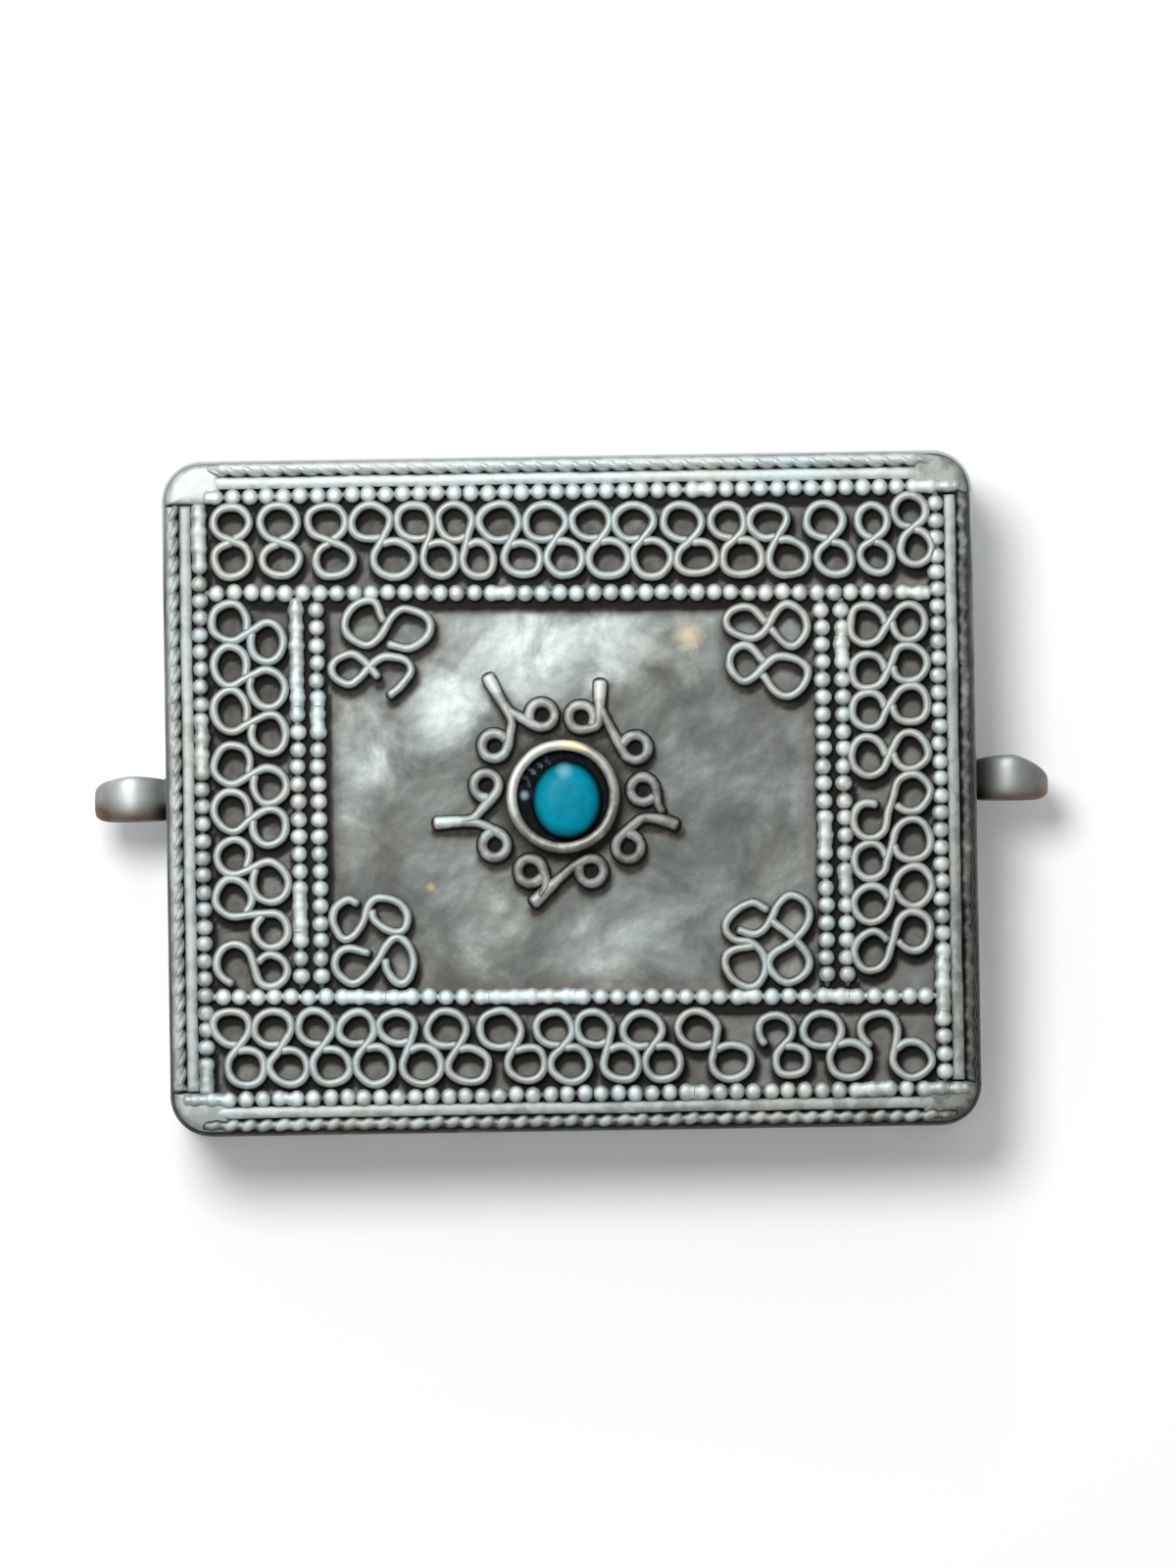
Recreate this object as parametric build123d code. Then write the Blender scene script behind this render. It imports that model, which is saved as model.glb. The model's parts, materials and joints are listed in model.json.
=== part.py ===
from build123d import *
import os
from math import acos, atan2, cos, degrees, hypot, pi, radians, sin, sqrt, tan

# Frame: X to the right and Y up the front of the box, Z from the back face (Z = 0) towards the viewer.
# The origin is the middle of the back face. All sizes are in millimetres and all angles in degrees.

# Box body
BODY_WIDTH = 60.0
BODY_HEIGHT = 50.0
BODY_DEPTH = 13.0
CORNER_RADIUS = 3.0
FRONT_SHEET = 0.8
BACK_SHEET = 0.8
COVER_WALL = 0.7
TRAY_WALL = 0.6
SLIDE_CLEARANCE = 0.25
HEAD_CLEARANCE = 0.3
FRONT_EDGE_ROUND = 0.25

# Suspension loops on the short sides
LOOP_BORE_RADIUS = 1.85
LOOP_STRIP = 0.9
LOOP_WIDTH = 3.3
LOOP_FOOT = 2.6
LOOP_EDGE_ROUND = 0.3
LOOP_LEFT_RISE = 0.2
LOOP_RIGHT_RISE = 0.8

# Outer border wires, counted from the edge of the front inwards
STRIP_MARGIN = 0.05
WIRE_GAP = 0.1
ROPE_WIDTH = 0.95
ROPE_HEIGHT = 0.8
PLAIN_WIDTH = 0.72
PLAIN_HEIGHT = 0.6
SEAM = 0.12
PAD_HEIGHT = 0.45
PAD_EDGE_ROUND = 0.2

# Beaded wire
BEAD_DIAMETER = 1.1
BEAD_SPACING = 0.15
BEAD_NECK = 0.5
BEAD_AXIS_HEIGHT = 0.35

# Inner frame of beaded wire: the long runs are a little out of level, as they were laid by hand
INNER_SKEW = 0.8
DOUBLE_PITCH = 1.5

# Scroll filigree bands: two rings on one S-shaped wire; the lean is the shift of one ring along the band
SCROLL_WIRE = 0.65
SCROLL_HEIGHT = 1.0
RING_DIAMETER = 2.85
ROW_GAP = 0.1
BAND_GAP = 0.1
CURL_GAP = 0.08
TAIL_ANGLE = 80.0
TOP_PITCH = 3.3
TOP_LEAN = 1.6
TOP_REVERSED = 3
BOTTOM_PITCH = 3.7
BOTTOM_LEAN = 1.6
SIDE_PITCH = 3.4
SIDE_LEAN = 1.5

# Corner motifs of the panel: two S-scrolls each
CORNER_RING_DIAMETER = 3.0
CORNER_GAP = 0.2

# Rosette: bezel, setting bed, stone and five sprays of two wires
ROSETTE_X = -0.6
ROSETTE_Y = -0.3
BEZEL_RADIUS = 4.2
BEZEL_WALL = 0.8
BEZEL_HEIGHT = 2.1
BEZEL_EDGE_ROUND = 0.35
BED_CLEARANCE = 0.05
BED_HEIGHT = 1.0
STONE_WIDTH = 4.9
STONE_LENGTH = 5.6
STONE_RISE = 1.6
STONE_SHIFT_X = 0.27
STONE_SHIFT_Y = -0.3
SPRAY_COUNT = 5
SPRAY_FIRST_ANGLE = 54.0
SPRAY_WIRE = 0.6
SPRAY_HEIGHT = 0.9
STRAND_GAP = 0.06
EYELET_DIAMETER = 2.5
EYELET_CLEARANCE = 0.65
EYELET_SPREAD = 2.05
SPRAY_BEND_RADIUS = 2.5
SPRAY_REACH = 3.0

# Places that follow from the sizes above
HALF_WIDTH = BODY_WIDTH / 2
HALF_HEIGHT = BODY_HEIGHT / 2
WALL_TOP = BODY_DEPTH - FRONT_SHEET
BEAD_RADIUS = BEAD_DIAMETER / 2
ROPE_EDGE = FRONT_EDGE_ROUND + STRIP_MARGIN
ROPE_INSET = ROPE_EDGE + ROPE_WIDTH / 2
PLAIN_INSET = ROPE_EDGE + ROPE_WIDTH + WIRE_GAP + PLAIN_WIDTH / 2
BEAD_INSET = PLAIN_INSET + PLAIN_WIDTH / 2 + WIRE_GAP + BEAD_RADIUS
STRIP_REACH = BEAD_INSET + BEAD_RADIUS
FIELD_X = HALF_WIDTH - STRIP_REACH
FIELD_Y = HALF_HEIGHT - STRIP_REACH
SKEW_SLOPE = tan(radians(INNER_SKEW))
BAND_ROOM = 2 * RING_DIAMETER + ROW_GAP + 2 * BAND_GAP
INNER_RUN_Y = FIELD_Y - BAND_ROOM - SKEW_SLOPE * FIELD_X - BEAD_RADIUS
OUTER_UPRIGHT_X = FIELD_X - BAND_ROOM - BEAD_RADIUS
INNER_UPRIGHT_X = OUTER_UPRIGHT_X - DOUBLE_PITCH


def rounded_block(inset, bottom, top):
    """A block with the outline of the box, drawn in by inset all round."""
    outline = RectangleRounded(BODY_WIDTH - 2 * inset, BODY_HEIGHT - 2 * inset, CORNER_RADIUS - inset)
    return Pos(0, 0, bottom) * extrude(outline, amount=top - bottom)


def wall_band(inset, thickness, bottom, top):
    """A closed band of sheet that follows the outline of the box."""
    return rounded_block(inset, bottom, top) - rounded_block(inset + thickness, bottom, top)


def front_plate():
    plate = rounded_block(0, WALL_TOP, BODY_DEPTH)
    front_edges = plate.faces().sort_by(Axis.Z)[-1].edges()
    return fillet(front_edges, FRONT_EDGE_ROUND)


def suspension_loop(side, rise):
    """A ring of thick strip with a short foot on the side wall; its bore runs along Y."""
    ring_radius = LOOP_BORE_RADIUS + LOOP_STRIP
    ring_x = HALF_WIDTH + ring_radius
    foot_length = ring_radius - sqrt(ring_radius ** 2 - (LOOP_FOOT / 2) ** 2) + LOOP_STRIP / 2
    ring = Pos(ring_x, 0) * Circle(ring_radius)
    foot = Pos(HALF_WIDTH + foot_length / 2, 0) * Rectangle(foot_length, LOOP_FOOT)
    bore = Pos(ring_x, 0) * Circle(LOOP_BORE_RADIUS)
    profile = Plane.XZ * (ring + foot - bore)
    loop = extrude(profile, amount=LOOP_WIDTH / 2, both=True)
    rims = loop.edges().filter_by(GeomType.CIRCLE)
    outer_rims = [edge for edge in rims if edge.radius > (LOOP_BORE_RADIUS + ring_radius) / 2]
    loop = fillet(outer_rims, LOOP_EDGE_ROUND)
    if side < 0:
        loop = mirror(loop, about=Plane.YZ)
    return Pos(0, rise, BODY_DEPTH / 2) * loop


def wire_section(width, height):
    """Section of a wire seated flat on the front: straight sides under a half-round top."""
    half = width / 2
    shoulder = height - half
    sides = Polyline((-half, shoulder), (-half, 0), (half, 0), (half, shoulder))
    crown = ThreePointArc((half, shoulder), (0, height), (-half, shoulder))
    return make_face(sides + crown)


def swept_wire(stretches, width, height):
    """Sweep the wire section along lines and arcs that run on smoothly from one to the next."""
    tangent = stretches[0] % 0
    across = Vector(-tangent.Y, tangent.X, 0)
    seat = Plane(origin=stretches[0] @ 0, x_dir=across, z_dir=tangent)
    path = Wire([stretch.edge() for stretch in stretches])
    wire = sweep(seat * wire_section(width, height), path=path)
    return Pos(0, 0, BODY_DEPTH) * wire


def beaded_wire(start, end):
    """A run of beads joined by short necks, cut flat where it sits on the front."""
    length = hypot(end[0] - start[0], end[1] - start[1])
    heading = degrees(atan2(end[1] - start[1], end[0] - start[0]))
    count = int(length / (BEAD_DIAMETER + BEAD_SPACING))
    step = length / count
    neck = BEAD_NECK / 2
    half_bead = sqrt(BEAD_RADIUS ** 2 - neck ** 2)
    outline = Line((0, 0), (0, neck))
    reached = 0.0
    for index in range(count):
        middle = (index + 0.5) * step
        outline += Line((reached, neck), (middle - half_bead, neck))
        shoulders = (middle - half_bead, neck), (middle + half_bead, neck)
        outline += ThreePointArc(shoulders[0], (middle, BEAD_RADIUS), shoulders[1])
        reached = middle + half_bead
    outline += Polyline((reached, neck), (length, neck), (length, 0), (0, 0))
    beads = revolve(make_face(outline), axis=Axis.X)
    waste = Box(length, BEAD_DIAMETER, BEAD_DIAMETER, align=(Align.MIN, Align.CENTER, Align.MAX))
    beads -= Pos(0, 0, -BEAD_AXIS_HEIGHT) * waste
    return Pos(start[0], start[1], BODY_DEPTH + BEAD_AXIS_HEIGHT) * Rot(0, 0, heading) * beads


def s_scroll(first, second, ring_diameter, turn):
    """One wire that curls round two ring centres the opposite ways; turn is 1 for a first curl that
    runs counter-clockwise and -1 for clockwise. A short straight tail closes each ring, and stops
    just short of the strand that joins the two."""
    radius = (ring_diameter - SCROLL_WIRE) / 2
    distance = hypot(second[0] - first[0], second[1] - first[1])
    bearing = degrees(atan2(second[1] - first[1], second[0] - first[0]))
    leave = bearing - turn * degrees(acos(2 * radius / distance))
    inner_side = radius - SCROLL_WIRE / 2
    outer_side = radius + SCROLL_WIRE / 2
    tail_slope = radians(TAIL_ANGLE)
    tail = (inner_side - CURL_GAP - outer_side * cos(tail_slope)) / sin(tail_slope)
    curl_angle = turn * (360 - TAIL_ANGLE)
    curl_in = CenterArc(first, radius, leave + turn * TAIL_ANGLE, curl_angle)
    curl_out = CenterArc(second, radius, leave + 180, -curl_angle)
    tail_in = Line(curl_in @ 0 - tail * (curl_in % 0), curl_in @ 0)
    tail_out = Line(curl_out @ 1, curl_out @ 1 + tail * (curl_out % 1))
    strand = Line(curl_in @ 1, curl_out @ 0)
    return swept_wire([tail_in, curl_in, strand, curl_out, tail_out], SCROLL_WIRE, SCROLL_HEIGHT)


def band_count(room, pitch, lean):
    return 1 + int((room - RING_DIAMETER - lean) / pitch)


def long_band(side, pitch, lean, fades, reversed_count):
    """Scrolls along the top (side 1) or the bottom (side -1). Where the lean fades, it is strongest
    in the middle of the band and gone at its ends. The first few scrolls may turn the other way."""
    room = 2 * (FIELD_X - BAND_GAP)
    count = band_count(room, pitch, 0 if fades else lean)
    row = (RING_DIAMETER + ROW_GAP) / 2
    scrolls = []
    for index in range(count):
        x = (index - (count - 1) / 2) * pitch
        inner_edge = side * (INNER_RUN_Y + BEAD_RADIUS) - SKEW_SLOPE * x
        y = (side * FIELD_Y + inner_edge) / 2
        shift = lean / 2
        if fades:
            shift *= sin(pi * (index + 0.5) / count)
        upper = (x - shift, y + row)
        lower = (x + shift, y - row)
        turn = 1 if index < reversed_count else -1
        scrolls.append(s_scroll(upper, lower, RING_DIAMETER, turn))
    return scrolls


def side_band(side):
    """Scrolls up the left (side -1) or the right (side 1); the outer rings stand higher."""
    x = side * (OUTER_UPRIGHT_X + BEAD_RADIUS + FIELD_X) / 2
    middle = -SKEW_SLOPE * x
    room = 2 * (INNER_RUN_Y - BEAD_RADIUS - BAND_GAP)
    count = band_count(room, SIDE_PITCH, SIDE_LEAN)
    column = (RING_DIAMETER + ROW_GAP) / 2
    scrolls = []
    for index in range(count):
        y = middle + (index - (count - 1) / 2) * SIDE_PITCH
        outer = (x + side * column, y + SIDE_LEAN / 2)
        inner = (x - side * column, y - SIDE_LEAN / 2)
        scrolls.append(s_scroll(outer, inner, RING_DIAMETER, 1))
    return scrolls


def corner_scrolls(side_x, side_y):
    """Two S-scrolls in one corner of the panel, one above the other."""
    near = CORNER_GAP + CORNER_RING_DIAMETER / 2
    pitch = CORNER_RING_DIAMETER + CORNER_GAP
    edge_x = INNER_UPRIGHT_X - BEAD_RADIUS
    scrolls = []
    for row in (0, 1):
        near_x = side_x * (edge_x - near)
        far_x = side_x * (edge_x - near - pitch)
        edge_y = INNER_RUN_Y - BEAD_RADIUS - side_y * SKEW_SLOPE * (near_x + far_x) / 2
        y = side_y * (edge_y - near - row * pitch)
        scrolls.append(s_scroll((near_x, y), (far_x, y), CORNER_RING_DIAMETER, 1))
    return scrolls


def border_side(along_x, side):
    """The rope, plain and beaded wires of one side of the outer border."""
    reach = (FIELD_X if along_x else FIELD_Y) - SEAM
    edge = HALF_HEIGHT if along_x else HALF_WIDTH

    def ends(inset):
        across = side * (edge - inset)
        if along_x:
            return (-reach, across), (reach, across)
        return (across, -reach), (across, reach)

    return {
        "rope": swept_wire([Line(*ends(ROPE_INSET))], ROPE_WIDTH, ROPE_HEIGHT),
        "plain": swept_wire([Line(*ends(PLAIN_INSET))], PLAIN_WIDTH, PLAIN_HEIGHT),
        "beads": beaded_wire(*ends(BEAD_INSET)),
    }


def corner_pad(side_x, side_y):
    """The smooth soldered end of the border at one corner."""
    pad = rounded_block(ROPE_EDGE, BODY_DEPTH, BODY_DEPTH + PAD_HEIGHT)
    x = side_x * (HALF_WIDTH - STRIP_REACH / 2)
    y = side_y * (HALF_HEIGHT - STRIP_REACH / 2)
    pad &= Pos(x, y, BODY_DEPTH + PAD_HEIGHT / 2) * Box(STRIP_REACH, STRIP_REACH, PAD_HEIGHT)
    top_edges = pad.faces().sort_by(Axis.Z)[-1].edges()
    return fillet(top_edges, PAD_EDGE_ROUND)


def inner_run(side):
    """The long beaded wire above (side 1) or below (side -1) the panel."""
    reach = FIELD_X - SEAM
    y = side * INNER_RUN_Y
    return beaded_wire((-reach, y + SKEW_SLOPE * reach), (reach, y - SKEW_SLOPE * reach))


def upright(x):
    """A beaded wire between the two long inner runs."""
    reach = INNER_RUN_Y - BEAD_RADIUS - SEAM
    middle = -SKEW_SLOPE * x
    return beaded_wire((x, middle - reach), (x, middle + reach))


def bezel_ring():
    ring = Cylinder(BEZEL_RADIUS, BEZEL_HEIGHT, align=(Align.CENTER, Align.CENTER, Align.MIN))
    ring -= Cylinder(BEZEL_RADIUS - BEZEL_WALL, BEZEL_HEIGHT, align=(Align.CENTER, Align.CENTER, Align.MIN))
    ring = fillet(ring.faces().sort_by(Axis.Z)[-1].edges(), BEZEL_EDGE_ROUND)
    return Pos(ROSETTE_X, ROSETTE_Y, BODY_DEPTH) * ring


def stone_bed():
    radius = BEZEL_RADIUS - BEZEL_WALL - BED_CLEARANCE
    bed = Cylinder(radius, BED_HEIGHT, align=(Align.CENTER, Align.CENTER, Align.MIN))
    return Pos(ROSETTE_X, ROSETTE_Y, BODY_DEPTH) * bed


def turquoise():
    """An oval cabochon with a flat back, seated on the setting bed."""
    dome = scale(Sphere(1.0), by=(STONE_WIDTH / 2, STONE_LENGTH / 2, STONE_RISE))
    keep = Box(STONE_WIDTH, STONE_LENGTH, STONE_RISE, align=(Align.CENTER, Align.CENTER, Align.MIN))
    stone_x = ROSETTE_X + STONE_SHIFT_X
    stone_y = ROSETTE_Y + STONE_SHIFT_Y
    return Pos(stone_x, stone_y, BODY_DEPTH + BED_HEIGHT) * (dome & keep)


def spray_wire(angle, side):
    """One wire of a spray: from the tip inwards beside its twin, then away from it into an eyelet."""
    radius = (EYELET_DIAMETER - SPRAY_WIRE) / 2
    strand = (SPRAY_WIRE + STRAND_GAP) / 2
    eyelet_distance = BEZEL_RADIUS + EYELET_CLEARANCE + EYELET_DIAMETER / 2
    eyelet = (sqrt(eyelet_distance ** 2 - EYELET_SPREAD ** 2), EYELET_SPREAD)
    spare = SPRAY_BEND_RADIUS - radius
    drop = SPRAY_BEND_RADIUS - (EYELET_SPREAD - strand)
    bend = (eyelet[0] + sqrt(spare ** 2 - drop ** 2), strand + SPRAY_BEND_RADIUS)
    meet = degrees(atan2(eyelet[1] - bend[1], eyelet[0] - bend[0]))
    outer_side = EYELET_DIAMETER / 2
    strand_side = SPRAY_BEND_RADIUS - SPRAY_WIRE / 2 - STRAND_GAP
    opening = degrees(acos((strand_side ** 2 - spare ** 2 - outer_side ** 2) / (2 * spare * outer_side)))
    tip = (eyelet_distance + SPRAY_REACH, strand)
    stem = Line(tip, (bend[0], strand))
    turn_out = CenterArc(bend, SPRAY_BEND_RADIUS, -90, meet + 90)
    curl = CenterArc(eyelet, radius, meet, opening - 360)
    wire = swept_wire([stem, turn_out, curl], SPRAY_WIRE, SPRAY_HEIGHT)
    if side < 0:
        wire = mirror(wire, about=Plane.XZ)
    return Pos(ROSETTE_X, ROSETTE_Y, 0) * Rot(0, 0, angle) * wire


def build_nodes():
    tray_inset = COVER_WALL + SLIDE_CLEARANCE
    nodes = {
        "tray_back_plate": rounded_block(0, 0, BACK_SHEET),
        "tray_wall": wall_band(tray_inset, TRAY_WALL, BACK_SHEET, WALL_TOP - HEAD_CLEARANCE),
        "cover_wall": wall_band(0, COVER_WALL, BACK_SHEET, WALL_TOP),
        "front_plate": front_plate(),
        "suspension_loop_left": suspension_loop(-1, LOOP_LEFT_RISE),
        "suspension_loop_right": suspension_loop(1, LOOP_RIGHT_RISE),
        "scroll_band_top": long_band(1, TOP_PITCH, TOP_LEAN, True, TOP_REVERSED),
        "scroll_band_bottom": long_band(-1, BOTTOM_PITCH, BOTTOM_LEAN, False, 0),
        "scroll_band_left": side_band(-1),
        "scroll_band_right": side_band(1),
        "inner_beads_top": inner_run(1),
        "inner_beads_bottom": inner_run(-1),
        "bezel_ring": bezel_ring(),
        "stone_bed": stone_bed(),
        "turquoise": turquoise(),
    }
    borders = {"top": (True, 1), "bottom": (True, -1), "left": (False, -1), "right": (False, 1)}
    for place, (along_x, side) in borders.items():
        for kind, wire in border_side(along_x, side).items():
            nodes[f"border_{kind}_{place}"] = wire
    for column, side_x in (("left", -1), ("right", 1)):
        nodes[f"inner_beads_{column}_outer"] = upright(side_x * OUTER_UPRIGHT_X)
        nodes[f"inner_beads_{column}_inner"] = upright(side_x * INNER_UPRIGHT_X)
        for row, side_y in (("top", 1), ("bottom", -1)):
            nodes[f"corner_pad_{row}_{column}"] = corner_pad(side_x, side_y)
            nodes[f"corner_scrolls_{row}_{column}"] = corner_scrolls(side_x, side_y)
    for index in range(SPRAY_COUNT):
        angle = SPRAY_FIRST_ANGLE + index * 360 / SPRAY_COUNT
        nodes[f"rosette_spray_{index + 1}"] = [spray_wire(angle, side) for side in (1, -1)]
    return nodes


def solids_of(shape):
    if isinstance(shape, list):
        return [solid for piece in shape for solid in piece.solids()]
    return list(shape.solids())


def main():
    os.makedirs("parts", exist_ok=True)
    for name, shape in build_nodes().items():
        solids = solids_of(shape)
        body = solids[0] if len(solids) == 1 else Compound(solids)
        export_step(body, f"parts/{name}.step")


main()
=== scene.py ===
import json
import math
import random

import bmesh
import bpy
import numpy as np
from mathutils import Matrix, Vector, kdtree, noise

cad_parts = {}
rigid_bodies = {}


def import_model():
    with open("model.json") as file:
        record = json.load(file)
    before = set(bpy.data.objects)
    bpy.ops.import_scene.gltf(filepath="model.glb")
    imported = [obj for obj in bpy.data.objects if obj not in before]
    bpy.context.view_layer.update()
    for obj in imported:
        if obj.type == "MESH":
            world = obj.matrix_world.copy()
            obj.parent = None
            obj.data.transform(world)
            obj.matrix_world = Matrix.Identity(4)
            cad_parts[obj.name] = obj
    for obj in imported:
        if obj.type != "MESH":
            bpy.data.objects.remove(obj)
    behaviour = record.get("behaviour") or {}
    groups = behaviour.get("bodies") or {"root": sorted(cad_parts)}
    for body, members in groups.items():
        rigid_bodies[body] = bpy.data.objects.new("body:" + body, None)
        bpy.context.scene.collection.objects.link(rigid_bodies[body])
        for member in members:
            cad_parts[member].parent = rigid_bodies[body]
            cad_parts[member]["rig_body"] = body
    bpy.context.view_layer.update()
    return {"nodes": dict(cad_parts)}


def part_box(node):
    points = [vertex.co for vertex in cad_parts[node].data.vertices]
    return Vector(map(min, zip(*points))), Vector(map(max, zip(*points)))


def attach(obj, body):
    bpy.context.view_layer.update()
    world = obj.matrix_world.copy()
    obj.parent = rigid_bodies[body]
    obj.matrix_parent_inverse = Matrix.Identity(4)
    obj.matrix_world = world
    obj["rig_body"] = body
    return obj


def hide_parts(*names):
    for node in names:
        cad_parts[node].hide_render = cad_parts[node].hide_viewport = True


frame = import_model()

# Sizes are in millimetres and angles in degrees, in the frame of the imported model. They become metres and
# radians where they are used.
MM = 0.001

# The photograph: a levelled pixel in millimetres, the pixel at the middle of the box, the size of the
# picture and its roll
PIXEL = 0.0725
MIDDLE_PIXEL = (583.0, 809.0)
PHOTO_WIDTH = 1200
PHOTO_HEIGHT = 1600
PHOTO_ROLL = 0.9

# Levels and sheets of the box
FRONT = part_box("front_plate")[1].z / MM
HALF_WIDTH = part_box("front_plate")[1].x / MM
HALF_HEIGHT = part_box("front_plate")[1].y / MM
CORNER_RADIUS = 3.0
COVER_WALL = 0.7
TRAY_WALL = 0.6
COVER_DENT = 0.12
TRAY_DENT = 0.04
FRONT_GRID = 0.25
BACK_GRID = 0.6
FRONT_EDGE_ROUND = 0.6
BACK_EDGE_ROUND = 0.4
EDGE_STEPS = np.array([0.85, 0.6, 0.42, 0.27, 0.15, 0.07, 0.02, 0.0])
UNDER_SOOT = 0.35
RIM = 0.12
SINK = 0.15

# The plain panel in the middle of the front: half its size, how it fades out, and its dents
PANEL_HALF = (17.6, 13.9)
PANEL_FADE = 1.6
DENT_COUNT = 70
DENT_FIELD = (17, 13)
DENT_SIZE = (0.7, 3.2)
DENT_DEPTH = (-0.06, 0.045)
DEEPEST_DENT = 0.14
HIGHEST_BUMP = 0.09
PANEL_HAMMERED = 0.03
FRONT_HAMMERED = 0.008
CALM_REACH = 9.0

# Scroll wires; a bend by hand is how far it pushes the wire and over what length
SCROLL_WIDTH = 0.7
SCROLL_HEIGHT = 1.0
SCROLL_RING = 1.8
SCROLL_RING_ACROSS = 1.62
RING_OVERLAP = 0.16
RING_SHARE = 0.44
RING_SPREAD = (0.88, 1.1)
TAIL_SHARE = 0.12
SCROLL_BEND = (0.2, 1.9)

# Sprays of the rosette
SPRAY_WIDTH = 0.8
SPRAY_HEIGHT = 0.85
EYELET_RADIUS = 0.97
EYELET_SWELL = 1.17
EYELET_GROWTH = 1.5
EYELET_TURN = 318
TIP_SWELL = 1.42
TIP_LENGTH = 2.0
SPRAY_SOOT = 0.22
DULL_SPRAY = "rosette_spray_5"

# Beaded runs
BEAD_RADIUS = 0.64
BEAD_PITCH = 1.25
BEAD_AXIS = 0.42
BEAD_WORN = 0.7
BEAD_JITTER = 0.05
BEAD_SPREAD = (0.94, 1.05)
BEAD_REACH = 0.49
BEAD_TURNS = np.radians(np.linspace(-80, 80, 11))
BEAD_SIDES = 18
BEAD_NOSE = 0.5
BEAD_FLATTENING = 0.7
NECK_TARNISH = 0.62
SUNK_TARNISH = 0.5
INNER_SKEW = 0.8
ROW_SHIFT = {"inner_beads_bottom": -0.28}
# How much darker each run is made, or brighter below nought
RUN_DARKENING = {"border_rope_right": 0.24, "border_beads_top": -0.15, "inner_beads_bottom": -0.35,
            "border_beads_left": 0.16, "inner_beads_left_outer": 0.08, "inner_beads_left_inner": 0.05}

# Plain strips of the border
STRIP_WIDTH = 0.9
STRIP_CROWN = 0.16
STRIP_STEP = 0.4
STRIP_BEND = (0.05, 5.0)
STRIP_NOSE = 0.1
# Painted shade of each side's strips and worn ropes, which leaves the top side, nearest the light, brightest
STRIP_PAINTED_SHADE = {"top": 0.0, "bottom": 0.04, "left": 0.2, "right": 0.12}

# Twisted ropes of the border
ROPE_LAY = 2.7
ROPE_STRAND = 0.31
ROPE_OFFSET = 0.22
ROPE_AXIS = 0.34
ROPE_CORE = 0.44
ROPE_CORE_SHIFT = 0.12
ROPE_BEAD = 0.5
ROPE_SLANT = 0.45

# How finely lines are drawn, the turns of the round nose of a wire, and the pull of its bends
STEP = 0.12
ARC_STEP = 7
NOSE_TURNS = np.radians([82, 65, 45, 22])
BEND = 1.15

# How far the border wires run out over the corner pads at the left and right, and how low they sink there
OVER_PADS = {
    "border_rope_top": (0.3, 1.3),
    "border_plain_top": (0.3, 1.3),
    "border_beads_top": (0.0, 2.2),
    "border_rope_bottom": (0.8, 1.4),
    "border_plain_bottom": (1.9, 1.6),
    "border_beads_bottom": (2.2, 2.2),
}
PAD_SINK = 0.45
BEAD_SINK = 0.75
SINK_RUN = 1.1

# Necks between beads as shares of a bead, and the ropes that are worn down to slanting beads: the height of
# their axis and their necks
BEAD_NECK = (0.3, 0.42)
ROPE_NECK = (0.62, 0.76)
MELTED_NECK = (0.78, 0.92)
BEADED_ROPES = {"bottom": (0.36, ROPE_NECK), "right": (0.3, MELTED_NECK)}

# Corner pads; each ring of a pad is a share of its outline and a share of its height
PAD_RUN = 1.1
PAD_INSET = 0.35
PAD_LEAN = 0.9
PAD_SWELL = 0.03
PAD_STEP = 0.18
PAD_RINGS = [(1.0, -SINK), (1.0, 0.25), (0.97, 0.58), (0.9, 0.82), (0.8, 0.94), (0.6, 1.0), (0.35, 1.0),
             (0.12, 1.0)]
PAD_SOOT = {"corner_pad_top_right": 0.2, "corner_pad_bottom_left": 0.1}
PAD_EDGE_SOOT = 0.25
PAD_EDGE = 0.94

# Ring places in the photograph's levelled pixels: the two rows of each long band, then the two columns
# of each upright band
TOP_UPPER = [240, 288, 337, 383, 428, 468, 513, 561, 606, 650, 700, 746, 788, 845, 894, 933]
TOP_LOWER = [241, 291, 345, 405, 452, 491, 537, 580, 625, 669, 715, 761, 808, 855, 898, 938]
TOP_ROWS = (528, 537, 566, 574)
BOTTOM_UPPER = [233, 275, 318, 360, 401, 451, 507, 561, 602, 651, 708, 787, 835, 893]
BOTTOM_LOWER = [247, 291, 334, 378, 427, 474, 533, 577, 630, 672, 742, 803, 862, 926]
BOTTOM_ROWS = (1043, 1056, 1084, 1086)
RAISED = {"scroll_band_top": {15: 10}}
LEFT_OUTER = [630, 675, 720, 775, 822, 868, 911, 978]
LEFT_INNER = [650, 697, 744, 797, 840, 896, 945, 985]
LEFT_COLUMNS = (237, 275)
RIGHT_OUTER = [640, 682, 724, 772, 815, 862, 910, 955]
RIGHT_INNER = [642, 690, 730, 777, 842, 883, 927, 975]
RIGHT_COLUMNS = (930, 887)

# Scrolls that are laid the other way round in their band
REVERSED = {"scroll_band_top": (0, 1, 2), "scroll_band_left": (7,)}

# Scrolls with an open loop: the turns of the two curls in degrees; the others turn nearly all the way round
CLOSED_TURNS = (316, 316)
OPEN_TURNS = {
    "scroll_band_bottom": {11: (265, 316), 13: (240, 325)},
    "scroll_band_left": {7: (230, 300)},
    "scroll_band_right": {4: (300, 270), 7: (300, 300)},
}

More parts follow.
